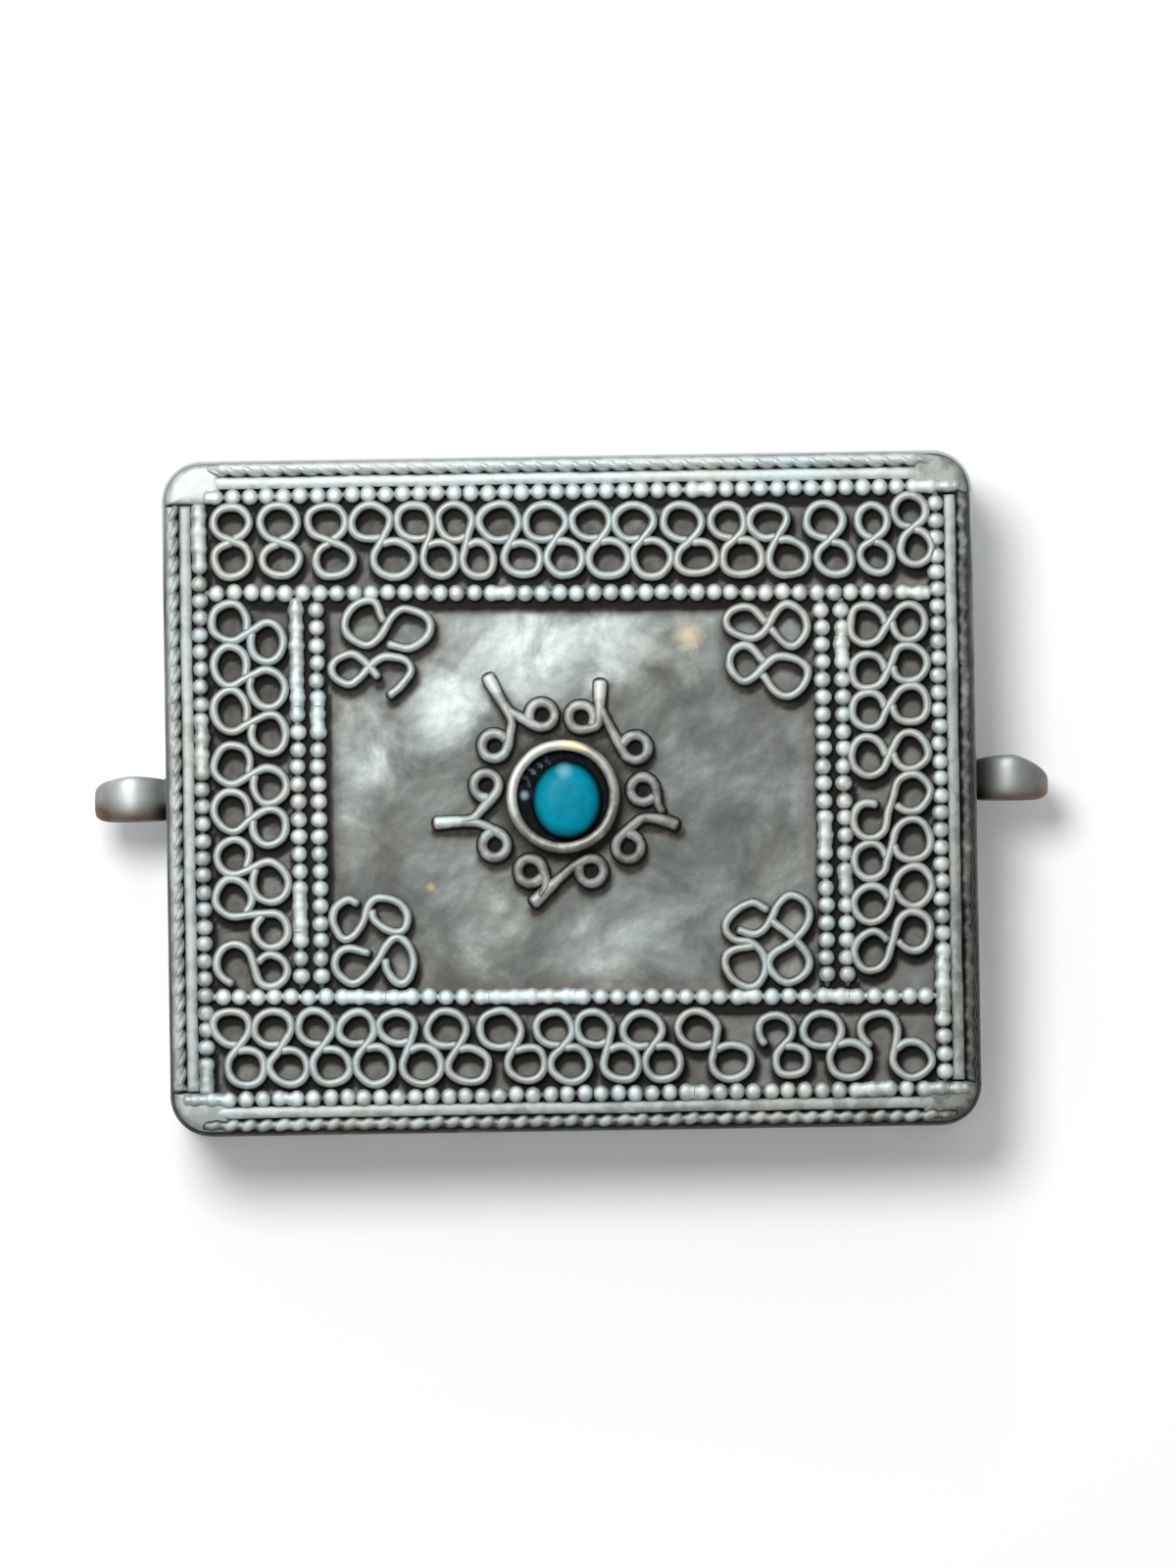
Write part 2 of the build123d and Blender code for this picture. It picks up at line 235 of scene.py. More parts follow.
# Corner motifs: the places that each bent wire passes
CORNER_WIRES = {
    "corner_scrolls_top_left": [
        [(394, 630), (380, 609), (354, 633), (373, 655), (388, 649), (406, 623), (419, 619), (442, 635),
         (424, 658), (400, 655)],
        [(387, 687), (370, 668), (357, 664), (340, 679), (356, 695), (367, 690), (385, 672), (398, 667),
         (421, 677), (411, 697), (400, 706)],
    ],
    "corner_scrolls_top_right": [
        [(784, 638), (764, 622), (743, 637), (765, 654), (781, 649), (796, 626), (809, 620), (826, 640),
         (816, 661), (805, 662), (790, 646)],
        [(781, 678), (762, 661), (746, 676), (757, 697), (768, 696), (786, 679), (797, 673), (822, 681),
         (826, 694), (810, 713), (795, 711), (781, 693)],
    ],
    "corner_scrolls_bottom_left": [
        [(362, 918), (353, 914), (338, 929), (344, 951), (353, 955), (367, 941), (376, 918), (388, 913),
         (411, 924), (411, 945), (398, 948), (379, 935), (378, 928)],
        [(373, 969), (349, 965), (339, 981), (351, 998), (362, 999), (380, 981), (395, 958), (406, 954),
         (419, 973), (415, 995), (405, 1001), (392, 987), (391, 978)],
    ],
    "corner_scrolls_bottom_right": [
        [(752, 952), (770, 956), (784, 942), (793, 925), (808, 917), (824, 935), (809, 962), (782, 982),
         (791, 1002), (807, 1005), (823, 987), (811, 965), (785, 943)],
        [(780, 931), (764, 924), (738, 945), (746, 961), (765, 965), (778, 984), (769, 1008),
         (752, 1007), (738, 991), (740, 975), (766, 968)],
    ],
}

# Rosette: its middle, then each spray's two strands: the places its stem passes, its eyelet and the way
# it curls
ROSETTE = (574.5, 813.0)
SPRAYS = {
    "rosette_spray_1": [([(614, 697), (612, 742)], (594, 732), -1),
                        ([(614, 722), (620, 735)], (649, 764), 1)],
    "rosette_spray_2": [([(500, 690), (524, 735)], (505, 760), -1),
                        ([(508, 704), (520, 724)], (554, 729), 1)],
    "rosette_spray_3": [([(445, 838), (482, 835)], (496, 800), 1),
                        ([(462, 838), (488, 838)], (504, 861), -1)],
    "rosette_spray_4": [([(543, 920), (582, 885)], (602, 889), -1),
                        ([(549, 914), (557, 905)], (540, 888), 1)],
    "rosette_spray_5": [([(689, 843), (672, 837), (655, 835)], (640, 865), 1),
                        ([(675, 829), (671, 824)], (656, 807), 1)],
}
BEZEL_OUTER = 4.2
BEZEL_INNER = 3.4
BEZEL_HEIGHT = 2.0
BEZEL_CROWN = 0.2
BEZEL_POINTS = 120
LATHE_POINTS = 72
BED_RADIUS = 3.38
BED_HEIGHT = 1.0
STONE_WIDTH = 5.3
STONE_LENGTH = 5.9
STONE_RISE = 1.58
STONE_SHIFT = (0.27, -0.3)

# Pale patches of the panel, rubbed metal with painted highlights, and dark tarnished patches: pixel, reach in
# millimetres and strength
PALE_PATCHES = [((555, 648), 8.5, 0.8), ((465, 722), 4.6, 0.8), ((625, 650), 5.0, 0.5),
                ((385, 765), 4.0, 0.45), ((600, 965), 6.0, 0.3)]
DARK_PATCHES = [((775, 760), 8.0, 0.68), ((400, 880), 6.0, 0.6), ((684, 652), 1.6, 0.7),
                ((727, 738), 2.2, 0.6), ((455, 850), 6.0, 0.5), ((705, 845), 7.0, 0.78),
                ((795, 690), 6.0, 0.6)]

# Single spots: pixel and reach in millimetres
TAN_SPOT = ((706, 650), 1.5)
OCHRE_SPOT = ((438, 903), 0.5)
GOLD_GLINT_SPOT = ((585, 760), 1.5)
DUSTY_SPOT = ((545, 785), 2.0)
GLINT_SPOT = ((535, 811), 0.5)
STONE_HIGHLIGHT_SPOT = ((576, 787), 0.85)

# Stretches where the beads have run together, in pixels along each run
MELTED = {
    "border_beads_top": [(705, 740), (932, 965)],
    "border_beads_bottom": [(268, 300), (688, 722), (862, 905)],
    "border_beads_left": [(510, 590), (720, 790), (1075, 1120)],
    "border_beads_right": [(880, 905), (960, 1060)],
    "inner_beads_top": [(490, 530), (705, 725), (910, 950)],
    "inner_beads_bottom": [(330, 420), (480, 600), (742, 782), (832, 880)],
    "inner_beads_left_outer": [(610, 730), (890, 960)],
    "inner_beads_left_inner": [(700, 760)],
    "inner_beads_right_inner": [(700, 730), (830, 880)],
    "inner_beads_right_outer": [(640, 680), (885, 925)],
}

# Tarnish and painted shade on the sheet: a painted shadow a little below each wire, darker round the rosette,
# in the eyelets and in the bands, with a painted highlight along the top rim and painted shade along the
# bottom rim
PAINTED_SHADOW_SHIFT = (0.18, -0.58)
TARNISH_AND_SHADE_REACH = 0.46
BAND_TARNISH_AND_SHADE = 0.5
PANEL_CLEARED = 0.22
HOLE_REACH = 0.4
RIM_REACH = 0.45
HALO_RADII = [4.4, 5.3, 6.8, 7.5, 10.5]
HALO_TARNISH_AND_SHADE = [0.75, 0.53, 0.33, 0.33, 0.0]
RIM_PAINTED_LIGHT = [0.66, 0.42, -0.4]

# Loops: the ring of strip on each short side
LOOP_BORE = 1.85
LOOP_STRIP = 0.9
LOOP_WIDTH = 3.3
LOOP_CUTS = {-1: 0.15, 1: 0.34}
LOOP_END_ROUND = 0.14
LOOP_ROOT_CUT = 0.06
LOOP_POINTS = 96
LOOP_SLACK = 0.01
# Where the painted shade at the root, the brown at the outer end and the brown low down fade in
LOOP_ROOT_DARK = (31.6, 30.3)
LOOP_END_BROWN = (33.9, 35.3)
LOOP_LOW_BROWN = (0.5, -1.3)
FOOT_LENGTH = 0.95
FOOT_WIDTH = 2.15
FOOT_TAPER = 1.0
FOOT_DEPTH_SHARE = 0.75

# Stage and camera, with lengths in metres
FLOOR_REACH = 1.5
FLOOR_DROP = 0.00002
SKY_TOP = (-0.1, 0.25, 1.0)
CAMERA_DISTANCE = 1.0
CAMERA_TILT = 1.6

# Directions, and the centre lines that each wire leaves for the tarnish
UP = (0.0, 0.0, 1.0)
ALONG_Y = (0.0, 1.0, 0.0)
wire_lines = []

# What the frame says of each node
BODIES = {name: made["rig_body"] for name, made in frame["nodes"].items()}


def photo(x, y):
    """A levelled pixel of the photograph as millimetres on the front of the box."""
    return np.array([(x - MIDDLE_PIXEL[0]) * PIXEL, (MIDDLE_PIXEL[1] - y) * PIXEL])


def node_box(node):
    low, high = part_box(node)
    return np.array(low) / MM, np.array(high) / MM


def wobble(x, y, z, size):
    """Smooth noise from about -1 to 1 that changes over the given size."""
    return noise.noise(Vector((x, y, z)) / size)


def rippled(x, y, seed, size):
    """The same noise at each of many places."""
    return np.array([wobble(*place, seed, size) for place in zip(x.ravel(), y.ravel())]).reshape(x.shape)


def away_from(place, x, y):
    return np.hypot(x - place[0], y - place[1])


# Shapes

def ring_faces(rings, sides, closed=False):
    """Faces between rings of points that follow one another; an open run has a cap at both ends."""
    faces = []
    for ring in range(rings if closed else rings - 1):
        this = ring * sides
        following = (ring + 1) % rings * sides
        for side in range(sides):
            after = (side + 1) % sides
            faces.append((this + side, this + after, following + after, following + side))
    if not closed:
        faces.append(tuple(range(sides)))
        faces.append(tuple(range((rings - 1) * sides, rings * sides)))
    return faces


def swept(path, across, up, section, size, closed=False):
    """Points and faces of a section carried along a path; an axis is one vector or one per point."""
    across, up = (np.broadcast_to(axis, path.shape)[:, None, :] for axis in (across, up))
    spread = section[None, :, :] * size[:, None, :]
    points = path[:, None, :] + across * spread[:, :, :1] + up * spread[:, :, 1:]
    return points.reshape(-1, 3), ring_faces(*points.shape[:2], closed)


def unit(vectors):
    return vectors / np.linalg.norm(vectors, axis=-1, keepdims=True)


def full_turn(count):
    return np.linspace(0, 2 * np.pi, count, endpoint=False)


def on_circle(turn):
    return np.stack([np.cos(turn), np.sin(turn)], axis=1)


def round_section(sides):
    return on_circle(full_turn(sides))


def blunt_section(sides, power):
    """A rounded rectangle from -1 to 1."""
    circle = round_section(sides)
    return np.sign(circle) * np.abs(circle) ** (2 / power)


def wire_section(width, height, crown):
    """Straight sides under a rounded top; the foot is sunk into the sheet."""
    half = width / 2
    turn = np.linspace(0, np.pi, 9)
    top = np.stack([half * np.cos(turn), height - crown + crown * np.sin(turn)], axis=1)
    return np.concatenate([[[half, -SINK]], top, [[-half, -SINK]]])


def resampled(line, step):
    gaps = np.linalg.norm(np.diff(line, axis=0), axis=1)
    reached = np.concatenate([[0], np.cumsum(gaps)])
    places = np.linspace(0, reached[-1], max(3, int(reached[-1] / step) + 1))
    return np.stack([np.interp(places, reached, line[:, axis]) for axis in range(line.shape[1])], axis=1)


def smoothed(line, passes):
    for _ in range(passes):
        line = np.concatenate([line[:1], (line[:-2] + 2 * line[1:-1] + line[2:]) / 4, line[-1:]])
    return line


def bent_by_hand(line, seed, amount, size):
    """The line pushed a little to and fro, as hand-bent wire is."""
    pushes = [rippled(*line.T, z, size) for z in (seed, seed + 50)]
    return line + amount * np.stack(pushes, axis=1)


def with_noses(line, reach):
    """The line with a round nose at both ends, and the scale of the section along it."""
    head = unit(line[0] - line[1])
    tail = unit(line[-1] - line[-2])
    before = [line[0] + head * reach * math.sin(turn) for turn in NOSE_TURNS]
    behind = [line[-1] + tail * reach * math.sin(turn) for turn in NOSE_TURNS[::-1]]
    scale = np.concatenate([np.cos(NOSE_TURNS), np.ones(len(line)), np.cos(NOSE_TURNS[::-1])])
    return np.concatenate([before, line, behind]), scale


def over_noses(values):
    """Values along a line, carried on over the noses at its ends."""
    return np.pad(values, len(NOSE_TURNS), mode="edge")


def flat_wire(line, width, height, seed, nose=None, crown=None, wider=None, lower=None):
    """A wire laid on the front along a line; wider and lower are shares of its width and height."""
    wire_lines.append((line, width / 2))
    shares = [np.ones(len(line)) if share is None else share for share in (wider, lower)]
    line, scale = with_noses(line, width / 2 if nose is None else nose)
    ahead = unit(np.gradient(line, axis=0))
    across = np.stack([-ahead[:, 1], ahead[:, 0], np.zeros(len(line))], axis=1)
    path = np.column_stack([line, np.full(len(line), FRONT)])
    worn = [1 + 0.07 * rippled(*line.T, seed, 1.6), 0.97 + 0.06 * rippled(*line.T, seed + 9, 2.4)]
    size = np.stack([wear * over_noses(share) * scale for wear, share in zip(worn, shares)], axis=1)
    section = wire_section(width, height, width / 2 if crown is None else crown)
    return swept(path, across, UP, section, size)


def through(places):
    """A smooth line through the given places, with the round bends of wire."""
    ends = [2 * places[0] - places[1]], [2 * places[-1] - places[-2]]
    knots = np.concatenate([ends[0], places, ends[1]])
    share = np.linspace(0, 1, 14, endpoint=False)[:, None]
    line = []
    for before, here, there, after in zip(knots, knots[1:], knots[2:], knots[3:]):
        pull = BEND * np.linalg.norm(there - here)
        leave = unit(there - before) * pull
        arrive = unit(after - here) * pull
        rest = 2 * (here - there) + leave + arrive
        line.append(here + share * (leave + share * (there - here - leave - rest + share * rest)))
    return np.concatenate(line + [[places[-1]]])


def arc(ring, start, sweep):
    count = max(4, int(abs(sweep) / math.radians(ARC_STEP)))
    return np.array(ring[:2]) + ring[2] * on_circle(start + np.linspace(0, sweep, count))


def heading_between(one, two):
    """Heading of the strand from one ring to the next; a ring is x, y, radius and way."""
    x = two[0] - one[0]
    y = two[1] - one[1]
    side = (one[2] * one[3] - two[2] * two[3]) / math.hypot(x, y)
    return math.atan2(y, x) + math.asin(side)


def curled_line(one, two, turn_one, turn_two, tail_share):
    """A line that curls round one ring, crosses to the other and curls round it the other way."""
    heading = heading_between(one, two)
    leave = heading - one[3] * math.pi / 2
    arrive = heading - two[3] * math.pi / 2
    sweep_one = one[3] * math.radians(turn_one)
    sweep_two = two[3] * math.radians(turn_two)
    line = np.concatenate([arc(one, leave - sweep_one, sweep_one), arc(two, arrive, sweep_two)])
    head = line[0] + unit(line[0] - line[1]) * one[2] * tail_share
    tail = line[-1] + unit(line[-1] - line[-2]) * two[2] * tail_share
    return np.concatenate([[head], line, [tail]])


# Pieces

def piece(node, shells, material, soot=None):
    """One mesh of one or more closed shells that stands for a CAD node."""
    points = np.concatenate([shell[0] for shell in shells]) * MM
    faces = []
    start = 0
    for shell_points, shell_faces in shells:
        faces += [[corner + start for corner in face] for face in shell_faces]
        start += len(shell_points)
    name = node + "_finish"
    mesh = bpy.data.meshes.new(name)
    mesh.from_pydata(points.tolist(), [], faces)
    work = bmesh.new()
    work.from_mesh(mesh)
    bmesh.ops.recalc_face_normals(work, faces=work.faces)
    work.to_mesh(mesh)
    work.free()
    mesh.polygons.foreach_set("use_smooth", [True] * len(mesh.polygons))
    if soot is not None:
        mesh.attributes.new("soot", "FLOAT", "POINT").data.foreach_set("value", soot)
    mesh.materials.append(material)
    made = bpy.data.objects.new(name, mesh)
    bpy.context.scene.collection.objects.link(made)
    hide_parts(node)
    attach(made, BODIES[node])
    return made


def ring_reach(row, index, along):
    """Half the length of a ring along its row: as long as the nearest ring of the row lets it be."""
    gaps = np.abs(row[:, along] - row[index, along])
    gaps[index] = np.inf
    return min(SCROLL_RING, gaps.min() / 2 + RING_OVERLAP)


def scroll_band(node, firsts, seconds, usual_way, along, seed):
    """A row of S-scrolls, each from a ring of the first line to its ring of the second."""
    shells = []
    across = SCROLL_RING_ACROSS - SCROLL_WIDTH / 2
    for index in range(len(firsts)):
        way = -usual_way if index in REVERSED.get(node, ()) else usual_way
        reaches = np.array([ring_reach(row, index, along) for row in (firsts, seconds)]) - SCROLL_WIDTH / 2
        stretch = np.ones(2)
        stretch[along] = reaches.mean() / across
        places = firsts[index] / stretch, seconds[index] / stretch
        radius = min(across, RING_SHARE * np.linalg.norm(places[0] - places[1]))
        radii = radius * np.clip(reaches / reaches.mean(), *RING_SPREAD)
        one = (*places[0], radii[0], way)
        two = (*places[1], radii[1], -way)
        turns = OPEN_TURNS.get(node, {}).get(index, CLOSED_TURNS)
        line = resampled(curled_line(one, two, *turns, TAIL_SHARE) * stretch, STEP)
        line = bent_by_hand(line, seed + index * 0.7, *SCROLL_BEND)
        shells.append(flat_wire(smoothed(line, 2), SCROLL_WIDTH, SCROLL_HEIGHT, seed + index))
    piece(node, shells, wire_silver)


def long_band(node, upper, lower, rows, seed):
    span = upper[-1] - upper[0]
    firsts = np.array([photo(x, rows[0] + (rows[1] - rows[0]) * (x - upper[0]) / span) for x in upper])
    seconds = np.array([photo(x, rows[2] + (rows[3] - rows[2]) * (x - upper[0]) / span) for x in lower])
    for index, rise in RAISED.get(node, {}).items():
        firsts[index, 1] += rise * PIXEL
        seconds[index, 1] += rise * PIXEL
    scroll_band(node, firsts, seconds, -1, 0, seed)


def upright_band(node, outer, inner, columns, seed):
    firsts = np.array([photo(columns[0], y) for y in outer])
    seconds = np.array([photo(columns[1], y) for y in inner])
    scroll_band(node, firsts, seconds, 1, 1, seed)


def corner_motif(node, wires, seed):
    shells = []
    for index, places in enumerate(wires):
        line = resampled(through(np.array([photo(*place) for place in places])), STEP)
        shells.append(flat_wire(smoothed(line, 6), SCROLL_WIDTH, SCROLL_HEIGHT, seed + index))
    piece(node, shells, wire_silver)


def spray(node, strands, seed):
    """Two strands that share a stem with a rubbed tip, part and curl into an eyelet each."""
    shells = []
    soot = []
    for index, (stem, eyelet, way) in enumerate(strands):
        ring = (*photo(*eyelet), EYELET_RADIUS, way)
        stem = np.array([photo(*place) for place in stem])
        start = heading_between((*stem[-1], 0, 1), ring) - way * math.pi / 2
        line = np.concatenate([stem, arc(ring, start, way * math.radians(EYELET_TURN))])
        line = smoothed(resampled(line, STEP), 12)
        along = np.arange(len(line)) * STEP
        stem_length = np.linalg.norm(np.diff(stem, axis=0), axis=1).sum()
        tip = np.exp(-(along / TIP_LENGTH) ** 2) * (index == 0)
        curl = np.clip((along - stem_length) / EYELET_GROWTH, 0, 1)
        wider = 1 + (TIP_SWELL - 1) * tip + (EYELET_SWELL - 1) * curl
        shells.append(flat_wire(line, SPRAY_WIDTH, SPRAY_HEIGHT, seed + index, wider=wider))
        rings = over_noses(SPRAY_SOOT * (1 - tip * (node != DULL_SPRAY)))
        soot.append(np.repeat(rings, len(shells[-1][0]) // len(rings)))
    piece(node, shells, spray_silver, np.concatenate(soot))


def run_of(node, skew=0.0):
    """Two ends of a straight run of wire, from its node's box and what lies over the corner pads."""
    low, high = node_box(node)
    before, behind = OVER_PADS.get(node, (0.0, 0.0))
    low[0] -= before
    high[0] += behind
    middle = (low + high) / 2
    middle[1] += ROW_SHIFT.get(node, 0.0)
    if high[0] - low[0] > high[1] - low[1]:
        drop = math.tan(math.radians(skew)) * (high[0] - low[0]) / 2
        return np.array([low[0], middle[1] + drop]), np.array([high[0], middle[1] - drop])
    return np.array([middle[0], low[1]]), np.array([middle[0], high[1]])


def pixel_along(place, upright):
    if upright:
        return MIDDLE_PIXEL[1] - place[1] / PIXEL
    return place[0] / PIXEL + MIDDLE_PIXEL[0]


def sunk(node, places, length, least):
    """Share of a border wire's full size along its run: it sinks where it runs out over the corner pads."""
    if node not in OVER_PADS:
        return np.ones_like(places)
    before, behind = np.array(OVER_PADS[node]) + SINK_RUN
    return np.interp(places, [0, before, length - behind, length], [least, 1, 1, least])


def beaded_run(node, seed, material, skew=0.0, radius=BEAD_RADIUS, axis=BEAD_AXIS, slant=0.0,
               necks=BEAD_NECK):
    """A wire of beads with narrow necks; where the beads have run together the necks are nearly full."""
    start, end = run_of(node, skew)
    draw = random.Random(seed)
    length = np.linalg.norm(end - start)
    ahead = (end - start) / length
    aside = np.array([-ahead[1], ahead[0]])
    upright = abs(ahead[1]) > abs(ahead[0])
    count = int(length / BEAD_PITCH)
    pitch = length / count
    beads = []
    for index in range(count):
        middle = (index + 0.5) * pitch + draw.uniform(-BEAD_JITTER, BEAD_JITTER)
        pixel = pixel_along(start + ahead * middle, upright)
        level = float(sunk(node, middle, length, BEAD_SINK))
        melted = level < 1 or any(low <= pixel <= high for low, high in MELTED.get(node, []))
        size = radius * draw.uniform(*BEAD_SPREAD) * level
        neck = size * draw.uniform(*(MELTED_NECK if melted else necks))
        beads.append((middle, level, size, neck, draw.uniform(-BEAD_JITTER, BEAD_JITTER)))
    line = []
    radii = []
    tarnish = []
    over_all = RUN_DARKENING.get(node, 0.0)
    for before, bead, behind in zip(beads[:1] + beads, beads, beads[1:] + beads[-1:]):
        middle, level, size, neck, shift = bead
        for turn in BEAD_TURNS:
            line.append(start + ahead * (middle + pitch * BEAD_REACH * math.sin(turn)) + aside * shift)
            radii.append(max(min(neck, (before if turn < 0 else behind)[3]), size * math.cos(turn)))
            in_neck = max(0.0, 1 - radii[-1] / (NECK_TARNISH * size))
            tarnish.append(in_neck + SUNK_TARNISH * (1 - level) + over_all)
    line = np.array(line)
    wire_lines.append((line, radius))
    path, scale = with_noses(line, radius * BEAD_NOSE)
    full = over_noses(radii) * scale
    path = np.column_stack([path, np.full(len(path), FRONT + axis)])
    section = round_section(BEAD_SIDES)
    points, faces = swept(path, (*aside, 0.0), UP, section, np.stack([full, full], axis=1))
    crest = FRONT + axis + BEAD_WORN * radius
    points[:, 2] -= BEAD_FLATTENING * np.maximum(points[:, 2] - crest, 0)
    soot = np.repeat(over_noses(tarnish), len(section))
    lean = (points[:, :2] - start) @ aside * slant
    points[:, :2] += lean[:, None] * ahead
    piece(node, [(points, faces)], material, soot)


def worn_rope(node, seed):
    """Two strands twisted together over a core of solder that leaves only their inner side showing."""
    start, end = run_of(node)
    length = np.linalg.norm(end - start)
    ahead = np.array([*(end - start) / length, 0.0])
    outward = unit(np.array([*(start + end), 0.0]))
    up = np.array(UP)
    places = np.arange(0, length, STEP)
    share = sunk(node, places, length, PAD_SINK)[:, None]
    middle = np.array([*start, FRONT]) + places[:, None] * ahead + ROPE_AXIS * share * up
    wire_lines.append((middle[:, :2], ROPE_CORE))
    shells = []
    for phase in (0, math.pi):
        turn = 2 * math.pi * places / ROPE_LAY + phase
        radial = outward * np.cos(turn)[:, None] + up * np.sin(turn)[:, None]
        path = middle + ROPE_OFFSET * share * radial
        forward = unit(np.gradient(path, axis=0))
        other = np.cross(forward, radial)
        worn = 1 + 0.08 * rippled(*path[:, :2].T, seed, 3.0)[:, None]
        shells.append(swept(path, radial, other, round_section(9), ROPE_STRAND * share * worn))
    core = middle + outward * ROPE_CORE_SHIFT
    worn = 1 + 0.07 * rippled(*core[:, :2].T, seed + 3, 4.0)[:, None]
    shells.append(swept(core, outward, up, blunt_section(16, 2.6), ROPE_CORE * share * worn))
    soot = np.full(sum(len(points) for points, _ in shells), STRIP_PAINTED_SHADE[node.split("_")[-1]])
    piece(node, shells, strip_silver, soot)


def plain_run(node, seed):
    low, high = node_box(node)
    start, end = run_of(node)
    length = np.linalg.norm(end - start)
    line = bent_by_hand(resampled(np.array([start, end]), STRIP_STEP), seed, *STRIP_BEND)
    lower = sunk(node, np.linspace(0, length, len(line)), length, PAD_SINK)
    shape = flat_wire(line, STRIP_WIDTH, high[2] - low[2], seed, nose=STRIP_NOSE, crown=STRIP_CROWN,
                      lower=lower)
    piece(node, [shape], strip_silver, np.full(len(shape[0]), STRIP_PAINTED_SHADE[node.split("_")[-1]]))


def corner_pad(node, seed):
    """The smooth soldered end of the border at one corner, a low pillow."""
    low, high = node_box(node)
    side = np.sign((low + high)[:2])
    reach = np.where(side > 0, high[:2], -low[:2])
    inner = np.where(side > 0, low[:2], -high[:2]) - np.array([PAD_RUN, 0.0])
    radius = CORNER_RADIUS - PAD_INSET
    turn = np.radians(np.linspace(0, 90, 12))
    bend = reach - radius + radius * on_circle(turn)
    corners = np.concatenate([[inner, [reach[0], inner[1]]], bend, [[inner[0], reach[1]]]])
    outline = resampled(np.concatenate([corners, corners[:1]]), PAD_STEP)[:-1] * side
    middle = outline.mean(axis=0) - side * np.array([PAD_LEAN, 0.0])
    height = high[2] - low[2] + PAD_SWELL
    dull_edge = PAD_EDGE_SOOT * (side[0] > 0 or side[1] < 0)
    points = []
    soot = []
    for share, level in PAD_RINGS:
        for x, y in middle + (outline - middle) * share:
            lift = 0.08 * wobble(x, y, seed, 1.8) if level > 0.5 else 0.0
            points.append((x, y, FRONT + height * (level + lift)))
            outer = max(0.0, share * max(side * (x, y) / reach) - PAD_EDGE) / (1 - PAD_EDGE)
            soot.append(PAD_SOOT.get(node, 0.0) + dull_edge * outer)
    faces = ring_faces(len(PAD_RINGS), len(outline))
    piece(node, [(np.array(points), faces)], pad_silver, soot)


def rounded_outline(half_x, half_y, radius, step):
    """Points round a rectangle with round corners, with their outward directions."""
    corners = np.array([(1, 1), (-1, 1), (-1, -1), (1, -1)]) * (half_x - radius, half_y - radius)
    points = []
    outward = []
    for quarter, corner in enumerate(corners):
        bend = on_circle(np.linspace(quarter * math.pi / 2, (quarter + 1) * math.pi / 2, 14))
        straight = corners[(quarter + 1) % 4] - corner
        count = int(np.linalg.norm(straight) / step)
        run = np.arange(1, count)[:, None] / count * straight
        points += [corner + radius * bend, corner + radius * bend[-1] + run]
        outward += [bend, np.repeat(bend[-1:], count - 1, axis=0)]
    return np.concatenate(points), np.concatenate(outward)


def wall_band(node, thickness, dent, material):
    """A closed band of sheet; its outer side is dented a little inwards."""
    low, high = node_box(node)
    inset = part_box("tray_back_plate")[1].x / MM - high[0]
    outline, outward = rounded_outline(high[0], high[1], CORNER_RADIUS - inset, 0.5)
    levels = np.linspace(low[2], high[2], 22)
    outer = [(-RIM, low[2])] + [(0.0, level) for level in levels[1:-1]] + [(-RIM, high[2])]
    inner = [(-thickness + RIM / 2, high[2])]
    inner += [(-thickness, level) for level in levels[::-3][1:-1]]
    inner += [(-thickness + RIM / 2, low[2])]
    section = np.array(outer + inner)
    path = np.column_stack([outline, np.zeros(len(outline))])
    across = np.column_stack([outward, np.zeros(len(outline))])
    points, faces = swept(path, across, UP, section, np.ones((len(outline), 2)), closed=True)
    for index, point in enumerate(points):
        side = index % len(section)
        if 0 < side < len(outer) - 1:
            edge = min(point[2] - low[2], high[2] - point[2])
            bulge = 0.5 + wobble(*point, 7.0) + 0.4 * wobble(*point, 2.6)
            push = dent * min(1.0, edge / 2.0) * max(0.0, bulge)
            points[index] = point - push * across[index // len(section)]
    piece(node, [(points, faces)], material)


def plate_grid(half_x, half_y, radius, spacing):
    """Rows and columns that fill a rectangle with round corners, closer together at its edges."""
    turn = np.radians(np.linspace(0, 90, 15))
    rows = np.concatenate([np.arange(0, half_y - radius, spacing), half_y - radius + radius * np.sin(turn)])
    rows = np.concatenate([-rows[:0:-1], rows])
    beyond = np.clip(np.abs(rows) - (half_y - radius), 0, radius)
    limit = half_x - radius + np.sqrt(radius ** 2 - beyond ** 2)
    columns = np.concatenate([np.arange(0, half_x - 1, spacing), half_x - EDGE_STEPS])
    columns = np.concatenate([-columns[:0:-1], columns]) / half_x
    x = columns[None, :] * limit[:, None]
    y = np.repeat(rows[:, None], len(columns), axis=1)
    return x, y


def edge_distance(x, y, half_x, half_y, radius):
    over_x = np.abs(x) - (half_x - radius)
    over_y = np.abs(y) - (half_y - radius)
    outside = np.hypot(np.maximum(over_x, 0), np.maximum(over_y, 0))
    return radius - outside - np.minimum(np.maximum(over_x, over_y), 0)


